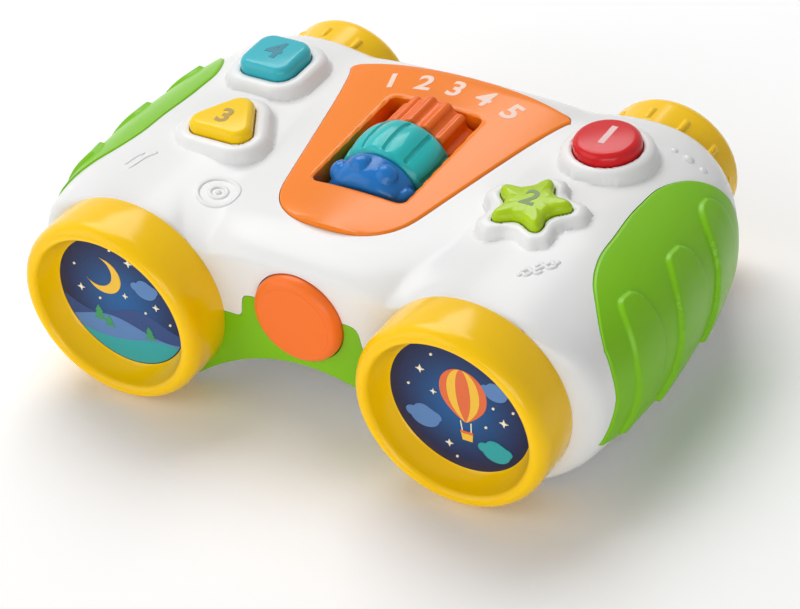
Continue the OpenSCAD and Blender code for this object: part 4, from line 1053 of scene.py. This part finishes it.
class PanelForm:
    """Outline and crown of the orange panel."""

    HALF, FLARE, FLARE_REAR, BOW, NOSE, NOSE_POWER = 24.1, 0.228, 0.0018, 4.7, 18.4, 2.8
    WINDOW, WINDOW_CORNER, REAR_CORNER = (16.1, 35.0, 82.2), 2.5, 3.0
    LIFT, CROWN = 0.5, 1.4

    def __init__(self, b):
        self.form = b.form
        low, high = extent("centre_panel")
        self.front, self.rear, self.floor = low[1], high[1], low[2]

    def width(self, s, grow=0.0):
        """Half width at a share of the length, with a round nose."""
        length, power = self.rear - self.front, self.NOSE_POWER
        v = self.front + s * (length - self.BOW)
        plain = self.HALF + self.FLARE * (v - self.WINDOW[1]) + self.FLARE_REAR * np.maximum(0, v - 70) ** 2
        t = np.clip(s * length / self.NOSE, 0, 1)
        return grow + np.maximum(1.0, plain * (1 - (1 - t) ** power) ** (1 / power))

    def point(self, s, u, grow=0.0):
        """Place at a share of the length and of the half width."""
        x = u * self.width(s, grow)
        full = self.width(np.float64(1), grow)
        corner = eased(self.REAR_CORNER, self.REAR_CORNER, full - np.abs(x))
        back = self.rear - self.BOW * (x / full) ** 2 + grow - corner
        start = self.front - grow
        return x, start + s * (back - start)

    def outline(self, grow):
        s = 0.22 * np.linspace(0, 1, 40) ** 2
        s = np.concatenate([s, np.linspace(0.22, 1, 50)[1:]])
        right = np.column_stack(self.point(s, 1.0, grow))
        rear = np.column_stack(self.point(np.float64(1), np.linspace(1, -1, 60)[1:-1], grow))
        left = np.column_stack(self.point(s[::-1], -1.0, grow))
        return np.concatenate([right, rear, left])

    def height(self, x, v):
        """Crowned top of the panel."""
        share = np.clip((v - self.front) / (self.rear - self.front), 0.02, 1)
        u = np.clip(x / self.width(share), -1, 1)
        return self.form.top(x, v) + self.LIFT + self.CROWN * (1 - u * u)

    def window_distance(self, x, v):
        half, front, rear = self.WINDOW
        c = self.WINDOW_CORNER
        return box_distance(np.abs(x) - half + c, np.abs(v - (front + rear) / 2) - (rear - front) / 2 + c, c)

    def window_outline(self):
        half, front, rear = self.WINDOW
        c, pts = self.WINDOW_CORNER, []
        centres = ((half - c, front + c), (half - c, rear - c), (c - half, rear - c), (c - half, front + c))
        for k, centre in enumerate(centres):
            pts += arc(centre, c, 90 * k - 90, 90 * k, 12)
        return pts


class BINO_OT_panel(PieceOperator, bpy.types.Operator):
    """Orange panel with the roller window and a row of numbers"""
    bl_idname = "bino.panel"
    bl_label = "Panel"

    def build(self, b):
        p = PanelForm(b)
        s = np.concatenate([0.2 * np.linspace(0, 1, 50) ** 2, np.linspace(0.2, 1, 110)[1:]])[:, None]
        u = np.sin(np.linspace(-1, 1, 101) * math.pi / 2)[None, :]
        x, v = p.point(s, u)
        border = np.minimum((1 - np.abs(u)) * p.width(s), (1 - s) * (p.rear - p.front))
        z = p.height(x, v) - eased(0.7, 0.9, border) - eased(0.8, 1.2, p.window_distance(x, v))
        upper = np.stack([x, v, z], axis=2)
        lower = upper.copy()
        lower[..., 2] = p.floor
        orange = b.plastic("orange")
        piece("panel", slab(upper, lower), orange, "orange_panel", replaces=["centre_panel"], angle=40,
              cuts=[[prism(p.window_outline(), 0, 60)]])
        piece("panel_skirt", self.skirt(p.floor), orange, "orange_panel")
        marks, size, bow = [], 10.6, 0.0068
        for k, digit in enumerate("12345"):
            x = (k - 2) * size + 0.6
            marks.append(stamped(digit, x, 91.6 - bow * x * x, -2 * bow * x, size, p.height))
        piece("panel_numbers", joined(marks), ink("print_panel", (0.90, 0.66, 0.55)), "orange_panel", angle=40)

    @staticmethod
    def skirt(top):
        """Wall that hangs from the panel round the rollers, inside the cradle."""
        wall, gap, thin = 2.0, 0.05, 0.35
        loops = [plan("roller_cradle", -inset) for inset in (wall + gap, wall + gap + thin)]
        low = extent("roller_cradle")[0][2] + wall + gap
        points = [(x, v, z) for z in (low, top) for loop in loops for x, v in loop]
        faces = []
        for k in range(4):
            n = (k + 1) % 4
            faces += [(k, n, 8 + n, 8 + k), (4 + n, 4 + k, 12 + k, 12 + n), (n, k, 4 + k, 4 + n),
                      (8 + k, 8 + n, 12 + n, 12 + k)]
        return points, faces


class BINO_OT_rollers(PieceOperator, bpy.types.Operator):
    """Blue, teal and orange rollers on their axle"""
    bl_idname = "bino.rollers"
    bl_label = "Rollers"

    BORE = 2.06

    def build(self, b):
        self.blue(b)
        self.teal(b)
        self.orange(b)

    @staticmethod
    def span(node):
        low, high = extent(node)
        return low[1], high[1]

    @staticmethod
    def add(b, node, body, key, slot, profile, ripple, count):
        shape = lathe(profile, (0.0, middle("roller_axle")[2]), count, ripple, True)
        piece(key + "_wheel", shape, b.plastic(key), slot, body, [node], 42)

    def barrel(self, front, rear, radius, soft, steps):
        """Profile of a plain wheel with rounded edges and the axle's bore."""
        rim = arc((radius - soft, front + soft), soft, -90, 0, 8)
        rim += [(radius, v) for v in np.linspace(front + soft, rear - soft, steps)[1:-1]]
        rim += arc((radius - soft, rear - soft), soft, 0, 90, 8)
        hub = radius - soft - 3
        return [(self.BORE, front), (hub, front)] + rim + [(hub, rear), (self.BORE, rear)]

    def blue(self, b):
        """Domed wheel with round bumps."""
        front, rear = self.span("blue_roller")
        core, bump, rise, count = 14.0, 3.3, 1.9, 9
        mid, dome, ease, soft, step = front + 5.8, 6.2, 5.0, 1.2, 0.45
        coarse = [(self.BORE, front), (5.0, front)]
        for a in np.radians(np.linspace(-90, 0, 16)):
            coarse.append((core - ease + ease * math.cos(a), front + dome + dome * math.sin(a)))
        coarse += [(core, v) for v in np.linspace(front + dome, rear - soft, 12)[1:-1]]
        coarse += arc((core - soft, rear - soft), soft, 0, 90, 6) + [(8.0, rear), (self.BORE, rear)]
        coarse = np.array(coarse)
        profile = [coarse[:1]]
        for p, q in zip(coarse[:-1], coarse[1:]):
            steps = max(1, int(np.linalg.norm(q - p) / step)) if min(p[0], q[0]) > 7 else 1
            profile.append(p + (q - p) * (np.arange(1, steps + 1) / steps)[:, None])

        def ripple(turn, r, v):
            phase = ((turn + 0.35) / (2 * math.pi) * count + 0.5) % 1 - 0.5
            d = np.hypot(phase * 2 * math.pi / count * core, v - mid) / bump
            return np.where((r > 8) & (v < rear - soft / 2), rise * np.sqrt(np.clip(1 - d * d, 0, 1)), 0)
        self.add(b, "blue_roller", "front_wheel", "blue", "blue", np.concatenate(profile), ripple, 280)

    def teal(self, b):
        """Barrel-shaped wheel with long grooves."""
        front, rear = self.span("teal_roller")
        radius, soft, count = 16.0, 1.6, 12
        half, mid = (rear - front) / 2, (rear + front) / 2
        groove_half, groove_depth = 0.9, 0.85

        def ripple(turn, r, v):
            crown = -2.0 * np.abs((v - mid) / half) ** 2.4
            phase = ((turn + 0.1) / (2 * math.pi) * count + 0.5) % 1 - 0.5
            across = phase * 2 * math.pi / count * radius / groove_half
            along = np.maximum(0, np.abs(v - mid) - half + 2.6) / groove_half
            groove = -groove_depth * np.sqrt(np.clip(1 - across ** 2 - along ** 2, 0, 1))
            swelled = 0.25 * np.cos(2 * math.pi * phase) * (np.abs(v - mid) < half - soft)
            return np.where(r > radius - 1.7, crown - swelled, 0) + np.where(r > radius - 0.1, groove, 0)
        self.add(b, "teal_roller", "middle_wheel", "teal", "teal",
                 self.barrel(front, rear, radius, soft, 40), ripple, 392)

    def orange(self, b):
        """Cog with rounded teeth."""
        front, rear = self.span("orange_roller")
        radius, count, depth, flank = 13.9, 14, 1.35, 1.3

        def ripple(turn, r, v):
            tooth = 0.5 + 0.5 * np.tanh(flank * np.cos((turn + 0.17) * count)) / math.tanh(flank)
            return np.where(r > 8, -depth * (1 - tooth), 0)
        self.add(b, "orange_roller", "rear_wheel", "rust", "orange_roller",
                 self.barrel(front, rear, radius, 1.3, 12), ripple, 384)


class BINO_OT_buttons(PieceOperator, bpy.types.Operator):
    """Four top buttons with eased edges and plain raised numbers"""
    bl_idname = "bino.buttons"
    bl_label = "Top buttons"

    CROWN, SOFT, DEEP = 0.4, 2.2, 9.0

    def build(self, b):
        for kind, info in BUTTONS.items():
            top, body = b.button_top(kind) + info["top_lift"], kind + "_key"
            x, v = b.button_place[kind]
            piece(kind + "_cap", self.cap(b, kind, x, v, top), b.plastic(info["colour"]), info["slot"], body,
                  [kind + "_button"], 50)
            reach = np.hypot(*button_outline(kind, b.size, 0, 200).T).max()

            def height(px, pv):
                return top - self.CROWN * ((px - x) ** 2 + (pv - v) ** 2) / reach ** 2
            figure = stamped(info["label"], x, v + info["shift"], 0.0, info["figure"], height)
            piece(kind + "_number", figure, ink("print_" + kind, info["print"]), info["slot"], body, angle=40)

    def cap(self, b, kind, x, v, top):
        """Lofted cap: straight side, rounded edge, slightly crowned top."""
        edge, count, steps = top - self.CROWN, 200, 12
        levels = [(0.0, top - self.DEEP), (0.0, edge - self.SOFT)]
        for a in np.radians(np.linspace(0, 90, 11))[1:]:
            levels.append((-self.SOFT * (1 - math.cos(a)), edge - self.SOFT * (1 - math.sin(a))))
        rings = [np.column_stack([button_outline(kind, b.size, g, count), np.full(count, z)]) for g, z in levels]
        rings += [rings[-1] * [1 - k / steps, 1 - k / steps, 1] for k in range(1, steps)]
        reach = np.hypot(rings[0][:, 0], rings[0][:, 1]).max()
        for ring in rings[1:]:
            ring[:, 2] += self.CROWN * (1 - (ring[:, 0] ** 2 + ring[:, 1] ** 2) / reach ** 2)
        return np.concatenate(rings) + [x, v, 0], tube_faces(len(rings), count)


class BINO_OT_front_key(PieceOperator, bpy.types.Operator):
    """Large round button between the rings"""
    bl_idname = "bino.front_key"
    bl_label = "Front button"

    def build(self, b):
        x, _, z = middle("front_button")
        face = extent("front_button")[0][1]
        radius, flange, ease, depth, dish = 14.7, 16.0, 2.9, 3.2, 0.25
        profile = [(radius * k / 10, face + dish * (k / 10) ** 2) for k in range(1, 9)]
        for a in np.radians(np.linspace(0, 90, 12)):
            profile.append((radius - ease * (1 - math.sin(a)), face + dish + depth * (1 - math.cos(a))))
        profile += [(radius, 5.8), (flange, 5.9), (flange, 7.4)]
        piece("front_cap", lathe(profile, (x, z), 144), b.plastic("coral"), "orange_button", "front_key",
              ["front_button"], 40)


class BINO_OT_pictures(PieceOperator, bpy.types.Operator):
    """Printed discs in the rings: plain night scenes"""
    bl_idname = "bino.pictures"
    bl_label = "Pictures"

    INKS = {"cream": (0.88, 0.82, 0.66), "gold": (0.86, 0.52, 0.05), "ember": (0.74, 0.15, 0.05),
            "sea": (0.03, 0.36, 0.38), "mist": (0.10, 0.22, 0.48), "leaf": (0.05, 0.30, 0.12),
            "slate": (0.03, 0.07, 0.22)}
    REACH = 22.2

    def build(self, b):
        sheet = night_print("night_sheet", tuple(b.colour.night), tuple(b.colour.dusk), 0.022)
        inks = {key: ink("ink_" + key, colour) for key, colour in self.INKS.items()}
        for side, sign, scene in (("left", -1, self.hills()), ("right", 1, self.balloon())):
            node = side + "_picture_disc"
            (_, face, _), (_, back, _) = extent(node)
            profile = [(22.4 * k / 6, 0) for k in range(1, 7)] + [(22.88, 0.3), (22.88, back - face)]
            points, faces = lathe(profile, (0, 0))
            place = np.array([sign * AXIS_X, face, 0])
            piece(side + "_print", (points - ORIGIN, faces), sheet, "printed_disc", replaces=[node], angle=40,
                  at=placed(place)[0])
            layers = {}
            for k, (key, outline) in enumerate(scene):
                shape = prism(np.asarray(outline) + [sign * AXIS_X, 0], face - 0.02 - 0.012 * k, face + 0.02, "v")
                layers.setdefault(key, []).append(shape)
            for key, shapes in layers.items():
                piece(side + "_print_" + key, joined(shapes), inks[key], "printed_disc", angle=40)

    @staticmethod
    def sparkle(x, z, size, points=4, waist=0.36):
        t = np.arange(2 * points) * math.pi / points + math.pi / 2
        r = np.where(np.arange(2 * points) % 2, waist * size, size)
        return np.column_stack([x + r * np.cos(t), z + r * np.sin(t)])

    def ground(self, height):
        """Land from the rim of the disc up to a wavy skyline."""
        x = np.linspace(-self.REACH, self.REACH, 600)
        above = x[(height(x) > -np.sqrt(self.REACH ** 2 - x ** 2)) & (x ** 2 + height(x) ** 2 < self.REACH ** 2)]
        first, last = above[0], above[-1]
        start, end = math.atan2(height(last), last), math.atan2(height(first), first)
        a = np.linspace(start, end - (2 * math.pi if end > start else 0), 70)
        rim = np.column_stack([self.REACH * np.cos(a), self.REACH * np.sin(a)])
        line = np.linspace(first, last, 90)
        return np.concatenate([np.column_stack([line, height(line)]), rim])

    def cloud(self, x, z, size):
        return [oval(x + size * a, z + size * c, size * r, size * r * 0.8)
                for a, c, r in ((-0.9, 0, 0.62), (0, 0.28, 0.82), (0.95, 0.02, 0.6), (0.1, -0.18, 1.25))]

    def hills(self):
        """A crescent moon and clouds over rows of hills."""
        scene = [("slate", self.ground(lambda x: -4.5 + 2.6 * np.sin(x / 5.2 + 0.6))),
                 ("mist", self.ground(lambda x: -9.0 + 2.2 * np.sin(x / 6.5 + 2.4))),
                 ("sea", self.ground(lambda x: -13.6 + 1.8 * np.sin(x / 7.0 - 0.5)))]
        for x, z, size in ((-9.5, -9.6, 4.2), (-6.2, -11.2, 3.2), (8.6, -11.6, 3.6)):
            for k in range(3):
                w, base = size * (0.62 - 0.13 * k), z + size * 0.36 * k
                scene.append(("leaf", [(x - w, base), (x + w, base), (x, base + size * 0.62)]))
        a = np.radians(np.linspace(-150, 80, 40))
        inner = np.radians(np.linspace(68, -138, 40))
        outside = np.column_stack([-5.4 + 6.4 * np.cos(a), 8.0 + 6.4 * np.sin(a)])
        inside = np.column_stack([-7.6 + 5.6 * np.cos(inner), 9.4 + 5.6 * np.sin(inner)])
        scene.append(("gold", np.concatenate([outside, inside])))
        scene += [("mist", shape) for shape in self.cloud(9.6, 7.6, 3.2)]
        for x, z, size in ((5.2, 15.6, 1.5), (12.8, 1.6, 1.3), (-14.6, 1.2, 1.4), (1.8, 2.6, 1.1)):
            scene.append(("cream", self.sparkle(x, z, size)))
        for x, z in ((-15.6, 9.6), (15.6, 9.4), (-1.0, 18.6), (8.6, -1.6), (-8.0, -1.0), (17.2, -3.4)):
            scene.append(("cream", oval(x, z, 0.42, None, 16)))
        return scene

    def balloon(self):
        """A striped balloon among clouds."""
        t = np.linspace(0, 2 * math.pi, 72, endpoint=False)
        tall = np.where(np.sin(t) < 0, 1.28, 1.0)
        scene = [("mist", shape) for shape in self.cloud(-12.4, -6.8, 3.8)]
        scene += [("mist", shape) for shape in self.cloud(12.0, 9.4, 3.0)]
        for wide, key in ((7.6, "ember"), (5.2, "gold"), (2.3, "ember")):
            pinch = np.where(np.sin(t) < 0, 1 - 0.55 * np.sin(t) ** 2 * np.abs(np.sin(t)), 1.0)
            scene.append((key, np.column_stack([1.6 + wide * np.cos(t) * pinch, 5.4 + 8.2 * np.sin(t) * tall])))
        for side in (-1, 1):
            x = 1.6 + 1.7 * side
            foot = x - 0.3 * side
            scene.append(("cream", [(x - 0.17, -5.0), (x + 0.17, -5.0), (foot + 0.17, -8.9), (foot - 0.17, -8.9)]))
        scene.append(("gold", [(-0.4, -8.7), (3.6, -8.7), (3.2, -11.8), (0.0, -11.8)]))
        scene.append(("ember", [(-0.5, -8.4), (3.7, -8.4), (3.65, -9.3), (-0.45, -9.3)]))
        scene += [("sea", shape) for shape in self.cloud(10.4, -12.4, 3.6)]
        for x, z, size in ((-11.8, 9.8, 1.5), (-8.2, 2.8, 1.1), (14.2, -1.2, 1.5), (-4.6, -14.6, 1.4)):
            scene.append(("cream", self.sparkle(x, z, size)))
        for x, z in ((-16.2, 3.2), (-7.6, 16.2), (11.2, 3.2), (-2.4, -18.8), (8.2, -4.6), (17.6, 3.8)):
            scene.append(("cream", oval(x, z, 0.42, None, 16)))
        return scene


class BINO_OT_insides(PieceOperator, bpy.types.Operator):
    """Finishes of the pieces that keep their mechanical shape"""
    bl_idname = "bino.insides"
    bl_label = "Inner pieces"

    def build(self, b):
        grey = moulded("plastic_grey", (0.10, 0.105, 0.115), 0.42)
        dark = moulded("plastic_dark", (0.012, 0.012, 0.014), 0.16)
        board = moulded("board_green", (0.02, 0.10, 0.035), 0.45)
        steel = metal("plated_steel", (0.62, 0.62, 0.64), 0.28)
        jacket = moulded("cell_jacket", (0.10, 0.12, 0.15), 0.32)
        special = {}
        for material, names in (
                (dark, "left_eye_window right_eye_window"),
                (board, "left_key_board right_key_board front_key_board"),
                (steel, "roller_axle front_contact rear_contact door_screw housing_screws"), (jacket, "cells"),
                (b.plastic("white"), "battery_door upper_posts lower_posts"), (b.plastic("red"), "power_slider")):
            special.update((name, material) for name in names.split())
        for name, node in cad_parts.items():
            node.data.materials.clear()
            node.data.materials.append(special.get(name, grey))


class BINO_OT_stage(PieceOperator, bpy.types.Operator):
    """Camera, floor and soft studio light"""
    bl_idname = "bino.stage"
    bl_label = "Stage"

    AZIMUTH, ELEVATION, ROLL = 35.55, 37.2, -6.9
    CAMERA = (0.4126, -0.5793, 0.5453)
    LENS, SENSOR = 131.4, 36.0
    FLOOR_HALF, FLOOR_GAP = 3.0, 0.0002
    # Painted shade round the object: the floor's camera-seen glow is zero out to the first distance and full past
    # the second
    GLOW, GLOW_START, GLOW_END = 0.22, 0.07, 0.24
    AIM = (0, 0, 0.03)

    def build(self, b):
        self.camera(b.context)
        self.floor()
        self.world(b.context)
        self.lamp("key", (-0.52, 0.5, 1.12), (1.05, 0.9), 15.6)
        self.lamp("fill", (-0.9, -1.1, 0.7), (1.4, 1.4), 9.6)
        self.lamp("front", (0.8, -1.3, 0.4), (1.3, 0.7), 10.4)

    def camera(self, context):
        az, el, roll = (math.radians(a) for a in (self.AZIMUTH, self.ELEVATION, self.ROLL))
        back = Vector((math.sin(az) * math.cos(el), -math.cos(az) * math.cos(el), math.sin(el)))
        right = Vector((math.cos(az), math.sin(az), 0))
        up = back.cross(right)
        right, up = math.cos(roll) * right + math.sin(roll) * up, math.cos(roll) * up - math.sin(roll) * right
        data = bpy.data.cameras.new("camera")
        data.sensor_width, data.lens = self.SENSOR, self.LENS
        data.clip_end = 20
        obj = add_object("camera", data)
        turn = Matrix((right, up, back)).transposed().to_4x4()
        obj.matrix_world = Matrix.Translation(self.CAMERA) @ turn
        context.scene.camera = obj

    def floor(self):
        """White table with painted shade round the object: the glow the camera sees is left out near the object and
        fades in to a plain white away from it.
        """
        f = Finish("floor")
        matte = f.node("ShaderNodeBsdfDiffuse", None, Color=(0.98, 0.98, 0.98, 1))
        glow = f.node("ShaderNodeEmission", None, Color=(1, 1, 1, 1), Strength=1.0)
        reach = f.node("ShaderNodeVectorMath", {"operation": "LENGTH"}, _0=f.object_place())
        # Painted shade: glow rises from none near the object to full further out, so the floor round the object is
        # darker than its lamps make it
        painted_shade_fade = f.node("ShaderNodeMapRange", {"interpolation_type": "SMOOTHSTEP"}, Value=f.value(reach, "Value"),
                      From_Min=self.GLOW_START, From_Max=self.GLOW_END, To_Min=0.0, To_Max=self.GLOW)
        material = f.surface(f.mixed(f.seen() * f.value(painted_shade_fade), matte, glow))
        mesh = bpy.data.meshes.new("floor")
        corners = [(x * self.FLOOR_HALF, y * self.FLOOR_HALF, 0) for x, y in ((-1, -1), (1, -1), (1, 1), (-1, 1))]
        mesh.from_pydata(corners, [], [(0, 1, 2, 3)])
        mesh.materials.append(material)
        obj = add_object("floor", mesh)
        obj.location.z = -self.FLOOR_GAP

    @staticmethod
    def world(context):
        """Weak even light, and white where the camera looks past the floor."""
        f = Finish("studio", "worlds", "ShaderNodeOutputWorld")
        sky = f.node("ShaderNodeBackground", None, Color=(1, 1, 1, 1), Strength=0.15)
        white = f.node("ShaderNodeBackground", None, Color=(1, 1, 1, 1), Strength=1.0)
        context.scene.world = f.surface(f.mixed(f.seen(), sky, white))
        context.scene.view_settings.view_transform = "Standard"

    def lamp(self, name, place, size, power):
        """Soft box aimed at the object."""
        data = bpy.data.lights.new(name, "AREA")
        data.shape, data.energy = "RECTANGLE", power
        data.size, data.size_y = size
        obj = add_object(name, data)
        obj.location = place
        aim = Vector(self.AIM) - Vector(place)
        obj.rotation_euler = aim.to_track_quat("-Z", "Y").to_euler()


PIECES = (BINO_OT_insides, BINO_OT_housing, BINO_OT_grips, BINO_OT_bridge, BINO_OT_rings, BINO_OT_pictures,
          BINO_OT_eyepieces, BINO_OT_panel, BINO_OT_rollers, BINO_OT_buttons, BINO_OT_front_key, BINO_OT_stage)


class BINO_PT_panel(bpy.types.Panel):
    """Lists the pieces in the sidebar."""
    bl_label = "Toy binoculars"
    bl_idname = "BINO_PT_panel"
    bl_space_type = "VIEW_3D"
    bl_region_type = "UI"
    bl_category = "Binoculars"

    def draw(self, context):
        for operator in PIECES:
            self.layout.operator(operator.bl_idname)
        for group in (context.scene.bino_sizes, context.scene.bino_colours):
            box = self.layout.box()
            for key in group.__annotations__:
                box.prop(group, key)


CLASSES = (BINO_PG_sizes, BINO_PG_colours) + PIECES + (BINO_PT_panel,)


def register():
    for cls in CLASSES:
        bpy.utils.register_class(cls)
    bpy.types.Scene.bino_sizes = PointerProperty(type=BINO_PG_sizes)
    bpy.types.Scene.bino_colours = PointerProperty(type=BINO_PG_colours)


def unregister():
    del bpy.types.Scene.bino_colours
    del bpy.types.Scene.bino_sizes
    for cls in reversed(CLASSES):
        bpy.utils.unregister_class(cls)


def main():
    register()
    for operator in PIECES:
        group, name = operator.bl_idname.split(".")
        getattr(getattr(bpy.ops, group), name)()


if __name__ == "__main__":
    main()
